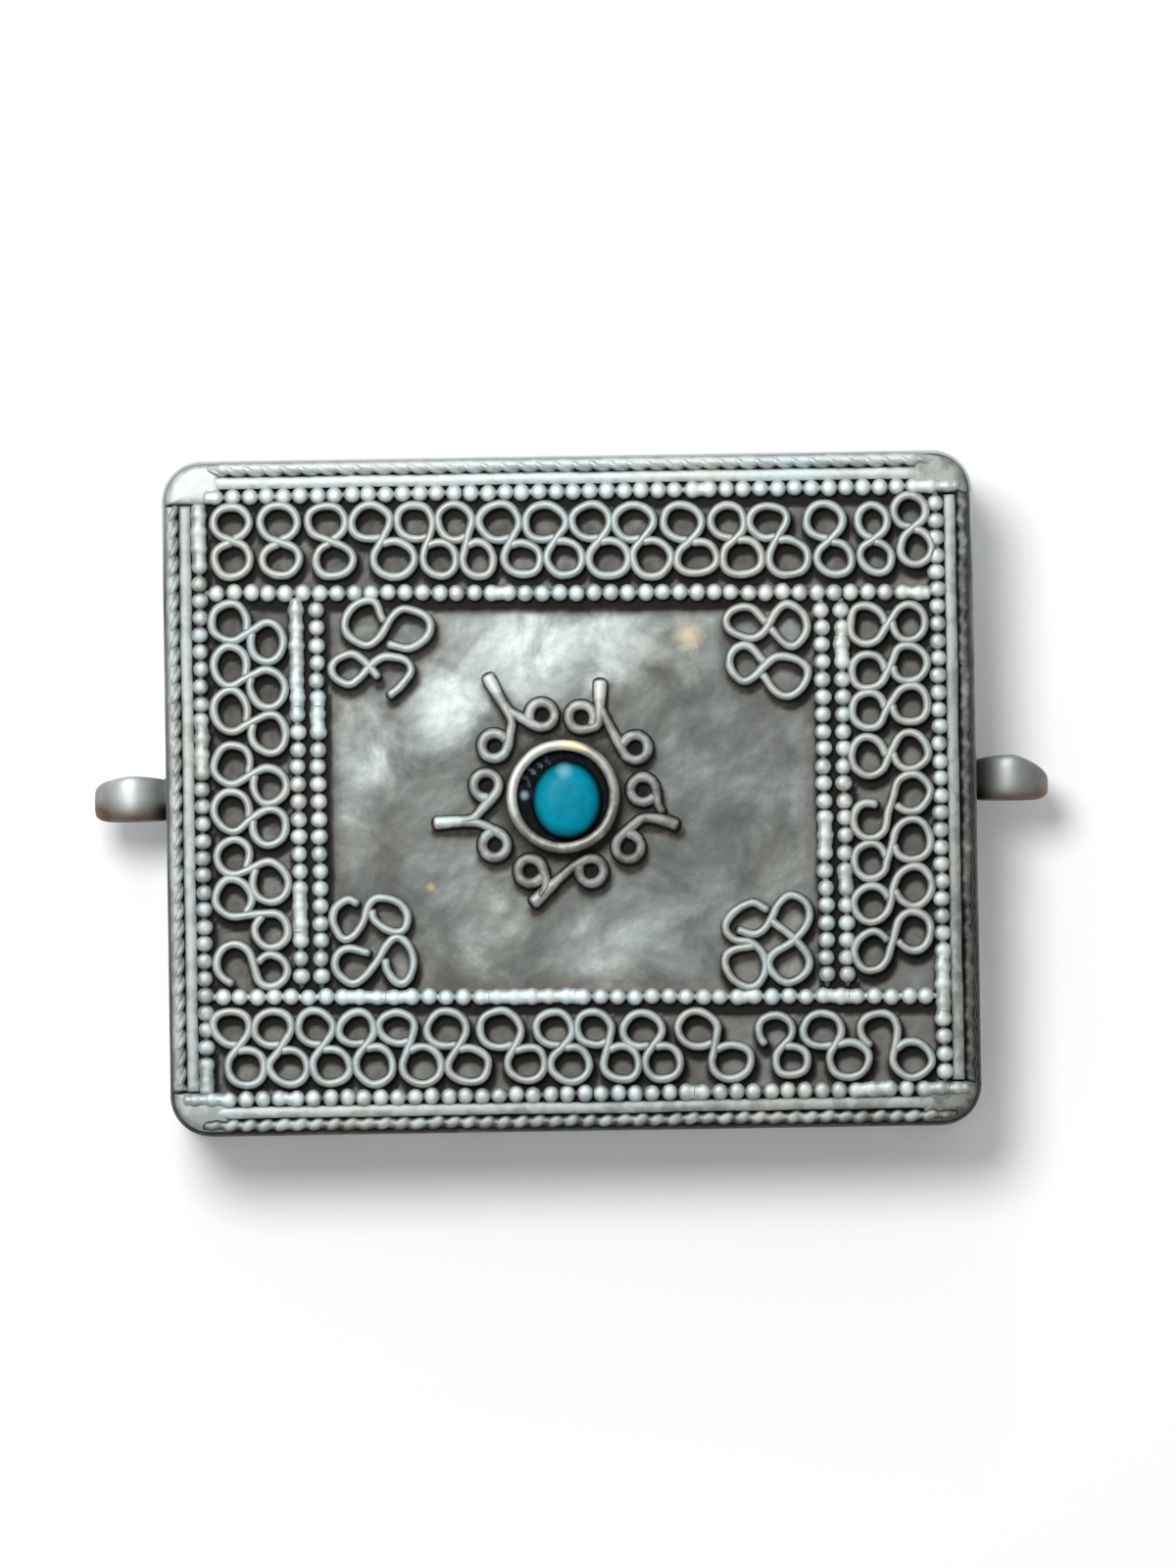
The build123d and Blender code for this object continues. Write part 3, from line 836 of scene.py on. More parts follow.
def sheet_plate(node, spacing, edge_round, relief, material, round_below=False, darkness=None):
    """A sheet with a rounded edge and a relief on one side: below where asked, or else above."""
    low, high = node_box(node)
    x, y = plate_grid(high[0], high[1], CORNER_RADIUS, spacing)
    inside = np.clip(edge_round - edge_distance(x, y, high[0], high[1], CORNER_RADIUS), 0, edge_round)
    drop = edge_round - np.sqrt(edge_round ** 2 - inside ** 2)
    bumps = relief(x, y)
    upper = np.full(x.shape, high[2])
    lower = np.full(x.shape, low[2])
    if round_below:
        lower += bumps + drop
    else:
        upper += bumps - drop
    rows, columns = x.shape
    points = np.concatenate([np.stack([x, y, level], axis=2).reshape(-1, 3) for level in (upper, lower)])
    cells = [(row * columns + column) for row in range(rows - 1) for column in range(columns - 1)]
    faces = []
    for start in (0, rows * columns):
        faces += [(start + cell, start + cell + 1, start + cell + columns + 1, start + cell + columns)
                  for cell in cells]
    rim = list(range(columns))
    rim += [row * columns + columns - 1 for row in range(1, rows)]
    rim += [(rows - 1) * columns + column for column in range(columns - 2, -1, -1)]
    rim += [row * columns for row in range(rows - 2, 0, -1)]
    for index, corner in enumerate(rim):
        after = rim[(index + 1) % len(rim)]
        faces.append((corner, after, after + rows * columns, corner + rows * columns))
    soot = None
    if darkness is not None:
        soot = np.concatenate([darkness(x.ravel(), y.ravel()), np.full(rows * columns, UNDER_SOOT)])
    piece(node, [(points, faces)], material, soot)


def panel_share(x, y):
    """One inside the plain panel, fading to nought under the wires that frame it."""
    tilted = y + x * math.tan(math.radians(INNER_SKEW))
    across = np.clip((PANEL_HALF[0] - np.abs(x)) / PANEL_FADE, 0, 1)
    along = np.clip((PANEL_HALF[1] - np.abs(tilted)) / PANEL_FADE, 0, 1)
    return across * along


def front_relief(x, y):
    """Dents and hammer marks of the panel; the rest of the front stays nearly flat for the wires."""
    draw = random.Random(11)
    relief = np.zeros_like(x)
    for _ in range(DENT_COUNT):
        centre = [draw.uniform(-reach, reach) for reach in DENT_FIELD]
        size = draw.uniform(*DENT_SIZE)
        depth = draw.uniform(*DENT_DEPTH) * size / 2
        relief += depth * np.exp(-(away_from(centre, x, y) / size) ** 2)
    fine = rippled(x, y, 3.0, 2.3) + 0.5 * rippled(x, y, 8.0, 0.9)
    calm = np.clip(away_from(photo(*ROSETTE), x, y) / CALM_REACH, 0.3, 1)
    dented = (relief + PANEL_HAMMERED * fine) * panel_share(x, y) * calm
    return np.clip(dented, -DEEPEST_DENT, HIGHEST_BUMP) + FRONT_HAMMERED * fine


def back_relief(x, y):
    """Shallow dents of the back."""
    dents = 0.035 * rippled(x, y, 21.0, 9.0) + 0.012 * rippled(x, y, 5.0, 2.5)
    return np.clip(dents + 0.04, 0.0, 0.12)


def front_tarnish_and_shade(x, y):
    """How dark the sheet is painted: tarnish with a painted shadow beside and a little below the wires,
    tarnish and painted shade in the bands, round the rosette and in the eyelets, a painted highlight along
    the top rim and painted shade along the bottom rim; little on the open panel.
    """
    count = sum(len(line) for line, _ in wire_lines)
    tree = kdtree.KDTree(count)
    widths = []
    for line, half in wire_lines:
        for px, py in line:
            tree.insert((px, py, 0.0), len(widths))
            widths.append(half)
    tree.balance()
    soot = np.empty(len(x))
    # Each place is measured from a point a little up and to the left of it, which paints a shadow below and
    # to the right of each wire.
    for index, (px, py) in enumerate(zip(x - PAINTED_SHADOW_SHIFT[0], y - PAINTED_SHADOW_SHIFT[1])):
        _, found, distance = tree.find((px, py, 0.0))
        gap = max(0.0, distance - widths[found])
        soot[index] = math.exp(-gap / (TARNISH_AND_SHADE_REACH + 0.15 * wobble(px, py, 4.0, 3.0)))
    in_panel = panel_share(x, y)
    # In the bands the sheet is painted darker, tarnish with painted shade of the deep wells between the
    # rings, a little more towards the upper left.
    in_bands = BAND_TARNISH_AND_SHADE - 0.07 * (x / x.max() - y / y.max())
    soot = np.maximum(soot * (1 - PANEL_CLEARED * in_panel), in_bands * (1 - in_panel))
    # Darker round the rosette and inside the eyelets: tarnish with painted shade in the gaps between the
    # bezel and the eyelets.
    halo = np.interp(away_from(photo(*ROSETTE), x, y), HALO_RADII, HALO_TARNISH_AND_SHADE)
    for strands in SPRAYS.values():
        for _, eyelet, _ in strands:
            hole = np.clip(2 - away_from(photo(*eyelet), x, y) / HOLE_REACH, 0, 1)
            halo = np.maximum(halo, hole)
    # Along the edge of the plate: painted shade on the bottom rim, and below nought a painted highlight on
    # the top rim.
    rim = np.clip(edge_distance(x, y, x.max(), y.max(), CORNER_RADIUS) / RIM_REACH - 0.3, 0, 1)
    rim_painted_light = np.interp(y / y.max(), [-1, 0, 1], RIM_PAINTED_LIGHT)
    return np.maximum(soot, halo) * rim + rim_painted_light * (1 - rim)


def suspension_loop(node, side):
    """A ring of strip on a flared foot; it is cut away above and rounded towards its outer end."""
    low, high = node_box(node)
    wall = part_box("cover_wall")[1].x / MM
    radius = LOOP_BORE + LOOP_STRIP / 2
    centre = (low + high) / 2
    centre[0] = side * (wall + LOOP_BORE + LOOP_STRIP)
    turn = full_turn(LOOP_POINTS)
    radial = np.stack([side * np.cos(turn), np.zeros(LOOP_POINTS), np.sin(turn)], axis=1)
    outer = np.clip(np.cos(turn), 0, 1)
    cut = LOOP_CUTS[side] * outer ** 1.5 + LOOP_ROOT_CUT * np.clip(-np.cos(turn), 0, 1) ** 2
    narrow = 1 - cut - LOOP_END_ROUND * outer ** 10
    path = centre + radius * radial
    path[:, 1] -= cut * LOOP_WIDTH / 2
    size = np.stack([narrow * LOOP_WIDTH / 2, np.full(LOOP_POINTS, LOOP_STRIP / 2 - LOOP_SLACK)], axis=1)
    ring = swept(path, ALONG_Y, radial, blunt_section(24, 3.2), size, closed=True)
    shares = np.linspace(0, 1, 7)
    foot_path = np.array([[side * (wall - SINK + FOOT_LENGTH * share), *centre[1:]] for share in shares])
    flare = FOOT_WIDTH - FOOT_TAPER * np.sin(shares * np.pi / 2)
    foot_size = np.stack([flare, flare * FOOT_DEPTH_SHARE], axis=1)
    foot = swept(foot_path, ALONG_Y, UP, blunt_section(20, 2.8), foot_size)
    piece(node, [ring, foot], loop_silver)


def round_ring(node):
    """The bezel: a wall bent into a ring, with a rounded and slightly uneven rim."""
    middle = photo(*ROSETTE)
    circle = round_section(BEZEL_POINTS)
    outward = np.column_stack([circle, np.zeros(BEZEL_POINTS)])
    uneven = 0.05 * rippled(*circle.T * 2, 2.0, 1.3)
    radius = (BEZEL_OUTER + BEZEL_INNER) / 2 + uneven
    path = np.column_stack([middle + radius[:, None] * circle, np.full(BEZEL_POINTS, FRONT)])
    half = (BEZEL_OUTER - BEZEL_INNER) / 2
    section = wire_section(2 * half, BEZEL_HEIGHT, BEZEL_CROWN)
    size = np.stack([1 + uneven, 1 + uneven - 0.03], axis=1)
    wire_lines.append((path[:, :2], half))
    piece(node, [swept(path, outward, UP, section, size, closed=True)], bezel_silver)


def lathe(middle, levels, stretch, lump):
    """A round or oval form from its radius and height steps; lump moves each point up or down."""
    circle = round_section(LATHE_POINTS) * stretch
    points = []
    for radius, level in levels:
        for x, y in middle + radius * circle:
            points.append((x, y, level + lump(x, y) * (radius < levels[0][0] * 0.99)))
    return np.array(points), ring_faces(len(levels), LATHE_POINTS)


def setting_bed(node):
    top = FRONT + BED_HEIGHT
    levels = [(BED_RADIUS, FRONT), (BED_RADIUS, top + 0.05)]
    levels += [(BED_RADIUS * share, top - 0.05) for share in np.linspace(0.95, 0.05, 14)]
    shape = lathe(photo(*ROSETTE), levels, (1, 1), lambda x, y: 0.1 * wobble(x, y, 6.0, 0.7))
    piece(node, [shape], lac)


def cabochon(node):
    base = FRONT + BED_HEIGHT - SINK
    rise = STONE_RISE + SINK
    turns = np.radians(np.linspace(4, 88, 22))
    levels = [(1.0, base)] + [(math.cos(turn) ** 0.5, base + rise * math.sin(turn)) for turn in turns]
    middle = photo(*ROSETTE) + np.array(STONE_SHIFT)
    halves = (STONE_WIDTH / 2, STONE_LENGTH / 2)
    shape = lathe(middle, levels, halves, lambda x, y: 0.02 * wobble(x, y, 1.0, 1.5))
    piece(node, [shape], turquoise)


# Materials

def wired(tree, made, inputs):
    """Link or set the inputs of a node."""
    for key, value in inputs.items():
        if isinstance(value, bpy.types.NodeSocket):
            tree.links.new(value, made.inputs[key])
        else:
            made.inputs[key].default_value = value


def add(tree, kind, inputs=None, **settings):
    made = tree.nodes.new("ShaderNode" + kind)
    for name, value in settings.items():
        setattr(made, name, value)
    wired(tree, made, inputs or {})
    return made


def axes_of(tree, vector):
    return add(tree, "SeparateXYZ", {"Vector": vector}).outputs


def tarnish_and_shade_of(tree):
    return add(tree, "Attribute", attribute_name="soot").outputs["Fac"]


def new_material(name):
    material = bpy.data.materials.new(name)
    material.use_nodes = True
    tree = material.node_tree
    place = add(tree, "TexCoord").outputs["Object"]
    return material, tree, tree.nodes["Principled BSDF"], place


def speckle(tree, place, size, detail=4.0, distortion=0.0, rough=0.5):
    """Noise from 0 to 1 with features of about the given size in millimetres."""
    inputs = {"Vector": place, "Scale": 1 / (size * MM), "Detail": detail, "Distortion": distortion,
              "Roughness": rough}
    return add(tree, "TexNoise", inputs).outputs["Fac"]


def ramp(tree, value, stops):
    made = add(tree, "ValToRGB", {"Fac": value})
    elements = made.color_ramp.elements
    while len(elements) < len(stops):
        elements.new(0.5)
    for element, (place, colour) in zip(elements, stops):
        element.position = place
        element.color = (*colour, 1.0)
    return made.outputs["Color"]


def ranged(tree, value, low, high, to_low=0.0, to_high=1.0):
    inputs = {"Value": value, "From Min": low, "From Max": high, "To Min": to_low, "To Max": to_high}
    return add(tree, "MapRange", inputs, interpolation_type="SMOOTHSTEP").outputs["Result"]


def clamped(tree, operation, one, two):
    """A sum, difference or product, kept from 0 to 1."""
    return add(tree, "Math", {0: one, 1: two}, operation=operation, use_clamp=True).outputs["Value"]


def times(tree, one, two):
    return clamped(tree, "MULTIPLY", one, two)


def plus(tree, one, two):
    return clamped(tree, "ADD", one, two)


def minus(tree, one, two):
    return clamped(tree, "SUBTRACT", one, two)


def mixed(tree, factor, one, two, blend="MIX"):
    colours = [(*colour, 1.0) if isinstance(colour, tuple) else colour for colour in (one, two)]
    made = add(tree, "Mix", {0: factor, 6: colours[0], 7: colours[1]}, data_type="RGBA", blend_type=blend)
    return made.outputs[2]


def bumped(tree, height, strength, distance):
    inputs = {"Height": height, "Strength": strength, "Distance": distance * MM}
    return add(tree, "Bump", inputs).outputs["Normal"]


def over_front(tree, place, foot, top):
    """From 0 at one height over the front to 1 at another."""
    return ranged(tree, axes_of(tree, place)["Z"], (FRONT + foot) * MM, (FRONT + top) * MM)


def blotched(tree, place, colour, spot, share, other):
    """The colour with another laid over a spot of the photograph, as strongly as the share says."""
    pixel, reach = spot
    middle = (*photo(*pixel) * MM, 0.0)
    flat = add(tree, "VectorMath", {0: place, 1: (1.0, 1.0, 0.0)}, operation="MULTIPLY").outputs["Vector"]
    gap = add(tree, "VectorMath", {0: flat, 1: middle}, operation="DISTANCE").outputs["Value"]
    near = ranged(tree, gap, reach * MM, 0.0)
    return mixed(tree, times(tree, near, share), colour, other)


def towards_lower_right(tree, place):
    """From -1 at the upper left corner of the front to 1 at its lower right corner."""
    halves = (0.5 / (HALF_WIDTH * MM), -0.5 / (HALF_HEIGHT * MM), 0.0)
    return add(tree, "VectorMath", {0: place, 1: halves}, operation="DOT_PRODUCT").outputs["Value"]


def make_wire_silver(name, facings, levels, brightest, darkened):
    """Frosted bright crests over darker sides: rubbed metal and painted light where the surface stands high
    and faces up, tarnish and painted shade low down and on the sides, and painted shade towards the lower
    right.
    """
    material, tree, shader, place = new_material(name)
    facing = axes_of(tree, add(tree, "NewGeometry").outputs["Normal"])["Z"]
    # Rubbed crests with painted light: the higher a surface stands and the more it faces up, the brighter it
    # is painted.
    crest = times(tree, over_front(tree, place, *levels), ranged(tree, facing, *facings, 0.3, 1.0))
    patch = speckle(tree, place, 1.1, 5.0)
    wide = speckle(tree, place, 9.0, 3.0)
    worn = plus(tree, crest, ranged(tree, patch, 0.35, 0.7, -0.2, 0.12))
    worn = minus(tree, worn, tarnish_and_shade_of(tree))
    # Painted shade that darkens the wire towards the lower right, away from the light.
    worn = minus(tree, worn, ranged(tree, towards_lower_right(tree, place), -0.4, 0.7, 0.0, darkened))
    colour = ramp(tree, worn, [(0.0, (0.016, 0.014, 0.013)), (0.3, (0.10, 0.097, 0.09)),
                               (0.6, (0.32, 0.335, 0.325)), (0.95, brightest)])
    tint = ramp(tree, wide, [(0.35, (1.0, 0.97, 0.92)), (0.6, (0.95, 1.0, 1.0))])
    wired(tree, shader, {
        "Base Color": mixed(tree, 1.0, colour, tint, "MULTIPLY"),
        "Metallic": ranged(tree, worn, 0.1, 0.7, 0.25, 0.55),
        "Roughness": ranged(tree, patch, 0.3, 0.7, 0.48, 0.6),
        "Normal": bumped(tree, speckle(tree, place, 0.35, 5.0), 0.22, 0.06),
    })
    return material


def make_front_silver():
    """Blotched old sheet: pale patches of rubbed metal with painted highlights, grey tarnish, tarnish and
    painted shade beside the wires and in the bands, and painted light on the rim.
    """
    material, tree, shader, place = new_material("front_silver")
    soot = tarnish_and_shade_of(tree)
    cloud = speckle(tree, place, 5.0, 9.0, 0.5, 0.62)
    warm = speckle(tree, place, 8.0, 6.0, 0.2)
    grain = speckle(tree, place, 0.8, 5.0)
    colour = ramp(tree, cloud, [(0.32, (0.082, 0.088, 0.083)), (0.45, (0.127, 0.138, 0.132)),
                                (0.56, (0.175, 0.192, 0.185)), (0.7, (0.258, 0.284, 0.277))])
    tint = ramp(tree, warm, [(0.4, (0.98, 1.0, 1.0)), (0.62, (1.0, 0.95, 0.88))])
    colour = mixed(tree, 1.0, colour, tint, "MULTIPLY")
    # Pale patches: rubbed metal with painted highlights.
    for *spot, share in PALE_PATCHES:
        pale = ranged(tree, cloud, 0.3, 0.6, 0.15, share)
        colour = blotched(tree, place, colour, spot, pale, (0.555, 0.62, 0.615))
    for *spot, share in DARK_PATCHES:
        dull = ranged(tree, warm, 0.25, 0.6, 0.4, share)
        colour = blotched(tree, place, colour, spot, dull, (0.085, 0.085, 0.078))
    worn = ranged(tree, cloud, 0.3, 0.6, 0.3, 0.8)
    colour = blotched(tree, place, colour, TAN_SPOT, worn, (0.42, 0.35, 0.23))
    colour = blotched(tree, place, colour, OCHRE_SPOT, 0.7, (0.45, 0.33, 0.14))
    # Browned and darkened by tarnish and painted shade.
    browned = ranged(tree, soot, 0.25, 0.55, 0.0, 0.45)
    colour = mixed(tree, browned, colour, (0.2, 0.168, 0.15))
    dark = ranged(tree, plus(tree, soot, ranged(tree, grain, 0.3, 0.7, -0.05, 0.05)), 0.1, 1.0)
    colour = mixed(tree, dark, colour, (0.014, 0.013, 0.012))
    # Painted highlight along the top rim.
    painted_rim_highlight = ranged(tree, soot, -0.02, -0.3, 0.0, 0.85)
    wired(tree, shader, {
        "Base Color": mixed(tree, painted_rim_highlight, colour, (0.6, 0.65, 0.66)),
        "Metallic": ranged(tree, dark, 0.1, 0.9, 0.6, 0.1),
        "Specular IOR Level": ranged(tree, dark, 0.2, 0.9, 0.5, 0.05),
        "Roughness": ranged(tree, cloud, 0.3, 0.7, 0.56, 0.42),
        "Normal": bumped(tree, grain, 0.3, 0.08),
    })
    return material


def make_sheet_silver():
    """Plain sheet of the walls and the tray: fine mottled tarnish, rubbed bright along the edges."""
    material, tree, shader, place = new_material("sheet_silver")
    cloud = speckle(tree, place, 6.0, 12.0, 0.2, 0.68)
    grain = speckle(tree, place, 0.7, 5.0)
    colour = ramp(tree, cloud, [(0.3, (0.2, 0.192, 0.178)), (0.48, (0.3, 0.3, 0.288)),
                                (0.7, (0.39, 0.4, 0.395))])
    pitted = ranged(tree, grain, 0.44, 0.3, 0.0, 0.5)
    colour = mixed(tree, pitted, colour, (0.12, 0.112, 0.1))
    upper_edge = over_front(tree, place, -2.2, -0.9)
    lower_edge = over_front(tree, place, 2.0 - FRONT, 0.9 - FRONT)
    rubbed = times(tree, plus(tree, upper_edge, lower_edge), ranged(tree, cloud, 0.35, 0.6, 0.15, 0.6))
    wired(tree, shader, {
        "Base Color": mixed(tree, rubbed, colour, (0.56, 0.58, 0.575)),
        "Metallic": 0.75,
        "Roughness": ranged(tree, cloud, 0.3, 0.7, 0.55, 0.42),
        "Normal": bumped(tree, grain, 0.22, 0.06),
    })
    return material


def make_loop_silver():
    """Rubbed strip: painted shade at the root, deepest on its low side, warm brown low down and at the outer
    end, duller on the right.
    """
    material, tree, shader, place = new_material("loop_silver")
    axes = axes_of(tree, place)
    reach = add(tree, "Math", {0: axes["X"]}, operation="ABSOLUTE").outputs["Value"]
    cloud = speckle(tree, place, 2.2, 5.0, 0.4)
    low_side = ranged(tree, axes["Y"], *[place * MM for place in LOOP_LOW_BROWN])
    away = ranged(tree, reach, *[place * MM for place in LOOP_END_BROWN])
    root = ranged(tree, reach, *[place * MM for place in LOOP_ROOT_DARK])
    colour = ramp(tree, cloud, [(0.3, (0.42, 0.435, 0.43)), (0.7, (0.585, 0.63, 0.63))])
    darkened = ranged(tree, axes["X"], -10 * MM, 10 * MM, 0.0, 0.7)
    colour = mixed(tree, darkened, colour, (0.17, 0.168, 0.155))
    brown = plus(tree, times(tree, low_side, 0.85), times(tree, away, 0.55))
    colour = mixed(tree, brown, colour, (0.13, 0.08, 0.055))
    # Painted shade where the strip dips to the wall at its root, deepest on the low side.
    root_shade = times(tree, root, ranged(tree, low_side, 0.0, 0.8, 0.35, 0.95))
    wired(tree, shader, {
        "Base Color": mixed(tree, root_shade, colour, (0.025, 0.02, 0.018)),
        "Metallic": 0.65,
        "Roughness": ranged(tree, cloud, 0.3, 0.7, 0.54, 0.46),
        "Normal": bumped(tree, speckle(tree, place, 0.5, 4.0), 0.12, 0.05),
    })
    return material


def make_bezel_silver():
    """Worn bezel, brighter towards its rim, with painted shade towards the lower right and a painted gold
    glint at its upper edge.
    """
    material, tree, shader, place = new_material("bezel_silver")
    patch = speckle(tree, place, 1.4, 5.0)
    crest = plus(tree, over_front(tree, place, 0.3, 1.9), ranged(tree, patch, 0.35, 0.7, -0.2, 0.1))
    across = towards_lower_right(tree, place)
    # Painted shade towards the lower right.
    crest = minus(tree, crest, ranged(tree, across, -0.13, 0.06, 0.0, 0.34))
    colour = ramp(tree, crest, [(0.0, (0.02, 0.017, 0.014)), (0.5, (0.16, 0.155, 0.14)),
                                (0.9, (0.5, 0.5, 0.46))])
    wired(tree, shader, {
        # Painted warm glint at the upper edge.
        "Base Color": blotched(tree, place, colour, GOLD_GLINT_SPOT, 0.85, (0.86, 0.7, 0.36)),
        "Metallic": 0.7,
        "Roughness": ranged(tree, patch, 0.3, 0.7, 0.4, 0.52),
        "Normal": bumped(tree, patch, 0.2, 0.06),
    })
    return material


def make_lac():
    """Dark resin with blue-grey dust, most of it at the upper left."""
    material, tree, shader, place = new_material("lac")
    grain = speckle(tree, place, 0.5, 5.0)
    colour = ramp(tree, grain, [(0.45, (0.002, 0.003, 0.004)), (0.64, (0.008, 0.011, 0.015))])
    dust = ranged(tree, grain, 0.5, 0.62)
    colour = blotched(tree, place, colour, DUSTY_SPOT, dust, (0.1, 0.14, 0.17))
    wired(tree, shader, {
        "Base Color": blotched(tree, place, colour, GLINT_SPOT, 1.0, (0.3, 0.4, 0.46)),
        "Roughness": ranged(tree, grain, 0.3, 0.7, 0.5, 0.7),
        "Specular IOR Level": 0.06,
        "Normal": bumped(tree, grain, 0.5, 0.1),
    })
    return material


def make_turquoise():
    """Even blue-green stone with faint cloudy veins, with painted shade towards its edge and a painted
    highlight near its top.
    """
    material, tree, shader, place = new_material("turquoise")
    cloud = speckle(tree, place, 1.6, 5.0, 0.5)
    vein = speckle(tree, place, 0.9, 6.0, 1.2)
    height = over_front(tree, place, 1.5, 2.42)
    colour = ramp(tree, cloud, [(0.35, (0.0, 0.2, 0.3)), (0.65, (0.001, 0.265, 0.38))])
    colour = mixed(tree, ranged(tree, vein, 0.62, 0.72, 0.0, 0.4), colour, (0.0, 0.12, 0.16))
    # Painted shade: the stone is painted darker low down on its sides.
    colour = mixed(tree, height, (0.001, 0.012, 0.018), colour)
    wired(tree, shader, {
        # Painted highlight near the top of the stone.
        "Base Color": blotched(tree, place, colour, STONE_HIGHLIGHT_SPOT, 0.6, (0.25, 0.52, 0.66)),
        "Roughness": ranged(tree, cloud, 0.3, 0.7, 0.32, 0.42),
        "Specular IOR Level": 0.07,
        "Normal": bumped(tree, vein, 0.05, 0.05),
    })
    return material


def make_floor():
    """Plain pale floor that looks white to the camera and keeps the shadow."""
    material, tree, shader, _ = new_material("studio_floor")
    rays = add(tree, "LightPath").outputs
    seen = plus(tree, plus(tree, rays["Is Camera Ray"], rays["Is Glossy Ray"]), rays["Is Transmission Ray"])
    wired(tree, shader, {
        "Base Color": (0.93, 0.93, 0.93, 1.0),
        "Roughness": 0.9,
        "Specular IOR Level": 0.0,
        "Emission Color": (1.0, 1.0, 1.0, 1.0),
        "Emission Strength": times(tree, seen, 0.06),
    })
    return material


# The last number of each is how far painted shade darkens it towards the lower right.
wire_silver = make_wire_silver("wire_silver", (0.2, 0.95), (0.1, 0.75), (0.47, 0.505, 0.5), 0.15)
bead_silver = make_wire_silver("bead_silver", (-0.5, 0.4), (0.02, 0.5), (0.63, 0.685, 0.69), 0.12)
strip_silver = make_wire_silver("strip_silver", (0.0, 0.9), (0.1, 0.5), (0.56, 0.605, 0.605), 0.3)
rope_silver = make_wire_silver("rope_silver", (-0.1, 0.8), (0.35, 0.85), (0.5, 0.55, 0.56), 0.2)
spray_silver = make_wire_silver("spray_silver", (0.3, 0.98), (0.15, 0.8), (0.66, 0.71, 0.705), 0.5)
pad_silver = make_wire_silver("pad_silver", (0.0, 0.8), (-0.6, 0.3), (0.54, 0.585, 0.58), 0.55)
front_silver = make_front_silver()
sheet_silver = make_sheet_silver()
loop_silver = make_loop_silver()
bezel_silver = make_bezel_silver()
lac = make_lac()
turquoise = make_turquoise()

# Wires and the rosette
long_band("scroll_band_top", TOP_UPPER, TOP_LOWER, TOP_ROWS, 1)
long_band("scroll_band_bottom", BOTTOM_UPPER, BOTTOM_LOWER, BOTTOM_ROWS, 30)
upright_band("scroll_band_left", LEFT_OUTER, LEFT_INNER, LEFT_COLUMNS, 60)
upright_band("scroll_band_right", RIGHT_OUTER, RIGHT_INNER, RIGHT_COLUMNS, 80)
for index, (node, wires) in enumerate(CORNER_WIRES.items()):
    corner_motif(node, wires, 100 + 5 * index)
for index, (node, strands) in enumerate(SPRAYS.items()):
    spray(node, strands, 130 + 5 * index)
for index, side in enumerate(("top", "bottom", "left", "right")):
    if side not in BEADED_ROPES:
        worn_rope(f"border_rope_{side}", 160 + index)
    else:
        axis, necks = BEADED_ROPES[side]
        beaded_run(f"border_rope_{side}", 160 + index, rope_silver, radius=ROPE_BEAD, axis=axis,
                   slant=ROPE_SLANT, necks=necks)
    plain_run(f"border_plain_{side}", 170 + index)
    beaded_run(f"border_beads_{side}", 180 + index, bead_silver)
for index, side in enumerate(("top", "bottom")):
    beaded_run(f"inner_beads_{side}", 190 + index, bead_silver, INNER_SKEW)
    for column in ("left", "right"):
        corner_pad(f"corner_pad_{side}_{column}", 200 + index)
for index, column in enumerate(("left", "right")):
    for layer in ("outer", "inner"):
        beaded_run(f"inner_beads_{column}_{layer}", 210 + 2 * index + len(layer), bead_silver)
round_ring("bezel_ring")
setting_bed("stone_bed")
cabochon("turquoise")

# Sheets and loops
sheet_plate("front_plate", FRONT_GRID, FRONT_EDGE_ROUND, front_relief, front_silver, darkness=front_tarnish_and_shade)
sheet_plate("tray_back_plate", BACK_GRID, BACK_EDGE_ROUND, back_relief, sheet_silver, round_below=True)
wall_band("cover_wall", COVER_WALL, COVER_DENT, sheet_silver)
wall_band("tray_wall", TRAY_WALL, TRAY_DENT, sheet_silver)
suspension_loop("suspension_loop_left", -1)
suspension_loop("suspension_loop_right", 1)

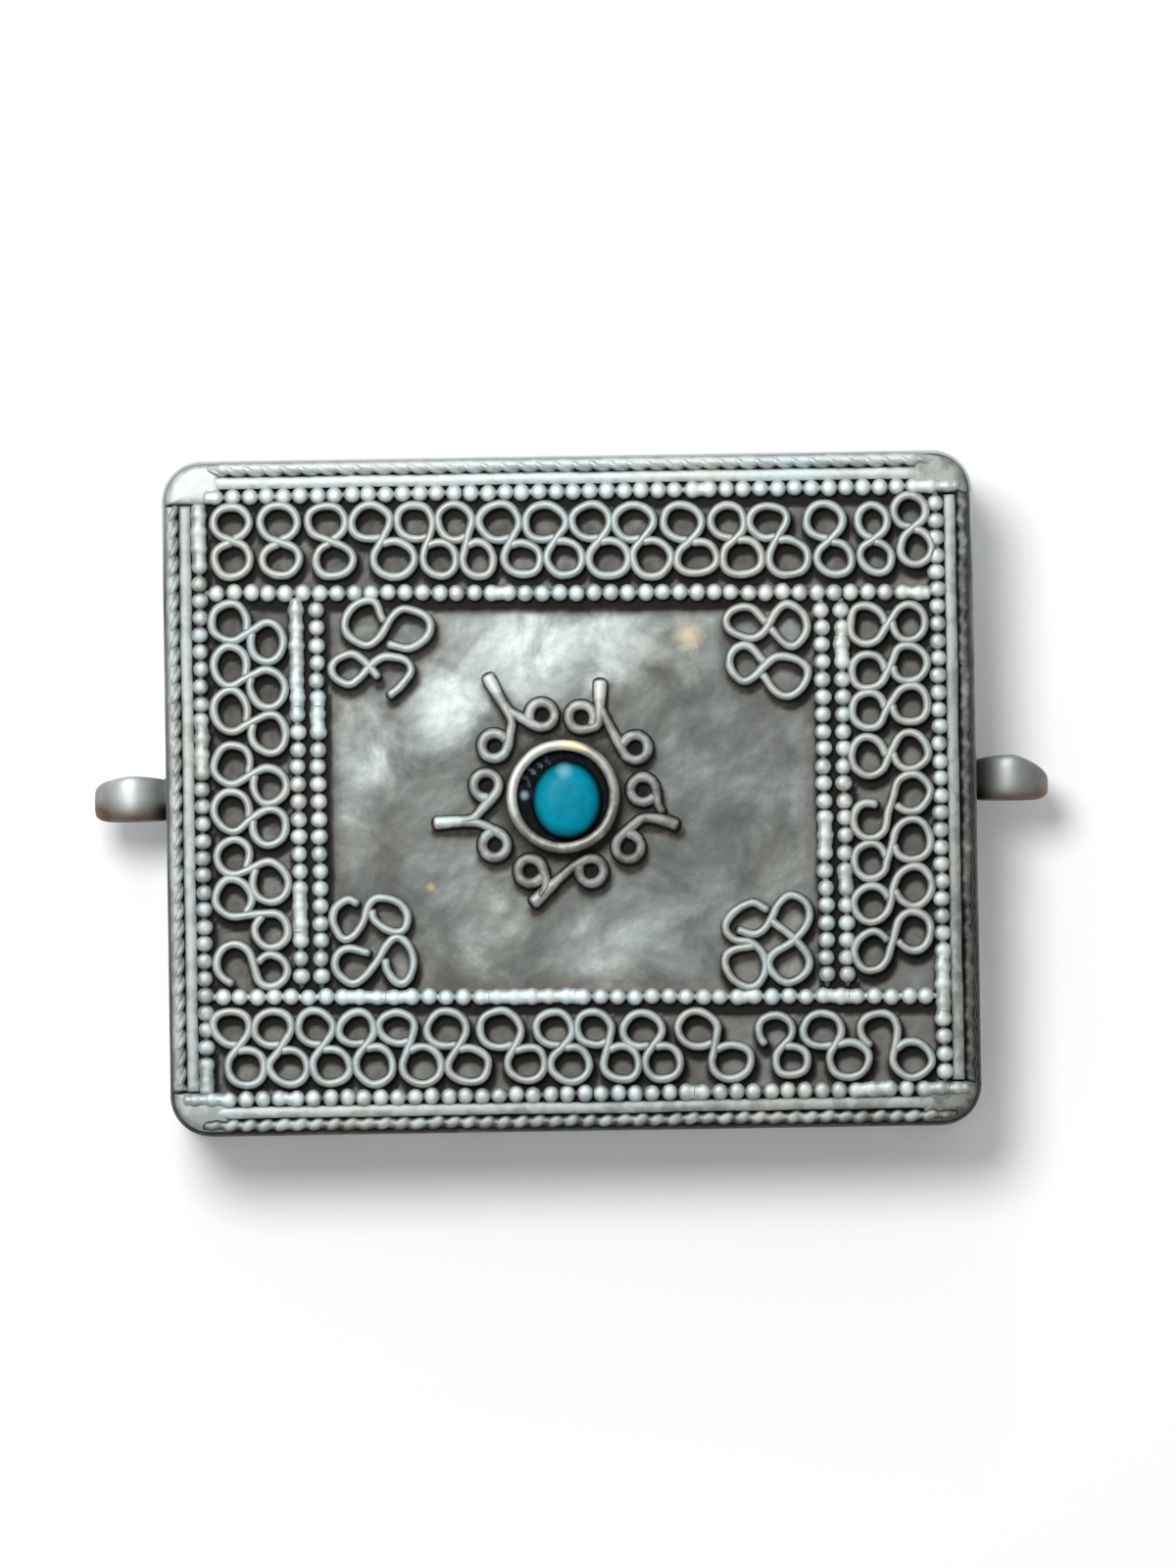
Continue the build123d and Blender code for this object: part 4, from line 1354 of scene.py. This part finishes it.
# Stage
scene = bpy.context.scene
scene.view_settings.view_transform = "Standard"
floor_mesh = bpy.data.meshes.new("studio_floor")
floor_signs = [(-1, -1), (1, -1), (1, 1), (-1, 1)]
floor_corners = [(x * FLOOR_REACH, y * FLOOR_REACH, -FLOOR_DROP) for x, y in floor_signs]
floor_mesh.from_pydata(floor_corners, [], [(0, 1, 2, 3)])
floor_mesh.materials.append(make_floor())
floor = bpy.data.objects.new("studio_floor", floor_mesh)
scene.collection.objects.link(floor)


def lamp(name, direction, distance, size, power, colour):
    light = bpy.data.lights.new(name, "AREA")
    light.shape = "DISK"
    light.size = size
    light.energy = power
    light.color = colour
    made = bpy.data.objects.new(name, light)
    scene.collection.objects.link(made)
    towards = Vector(direction).normalized()
    made.location = towards * distance
    made.rotation_euler = towards.to_track_quat("Z", "Y").to_euler()


lamp("key_light", (-0.22, 0.32, 1.0), 0.5, 0.18, 1.72, (1.0, 1.0, 0.99))
lamp("window_light", (-0.05, 1.7, 1.0), 0.6, 0.12, 0.3, (0.9, 0.97, 1.0))

world = bpy.data.worlds.new("studio")
scene.world = world
world.use_nodes = True
sky = world.node_tree
direction = add(sky, "TexCoord").outputs["Generated"]
height = add(sky, "VectorMath", {0: direction, 1: SKY_TOP}, operation="DOT_PRODUCT").outputs["Value"]
glow = ramp(sky, ranged(sky, height, -0.2, 1.0),
            [(0.0, (0.24, 0.24, 0.24)), (0.6, (0.32, 0.327, 0.33)), (1.0, (0.54, 0.56, 0.575))])
sky.links.new(glow, sky.nodes["Background"].inputs["Color"])

# Camera: down on the front with the roll of the photograph, and a little from below so that the lower
# wall shows
camera_data = bpy.data.cameras.new("camera")
camera = bpy.data.objects.new("camera", camera_data)
scene.collection.objects.link(camera)
scene.camera = camera
rolled = Matrix.Rotation(math.radians(-PHOTO_ROLL), 4, "Z")
turned = rolled @ Matrix.Rotation(math.radians(CAMERA_TILT), 4, "X")
off_middle = Vector((PHOTO_WIDTH / 2 - MIDDLE_PIXEL[0], MIDDLE_PIXEL[1] - PHOTO_HEIGHT / 2, 0.0)) * PIXEL
aim = Vector((0.0, 0.0, FRONT * MM)) + turned.to_3x3() @ off_middle * MM
away = turned.to_3x3() @ Vector((0.0, 0.0, CAMERA_DISTANCE))
camera.matrix_world = Matrix.Translation(aim + away) @ turned
camera_data.lens = camera_data.sensor_width * CAMERA_DISTANCE / (PHOTO_HEIGHT * PIXEL * MM)
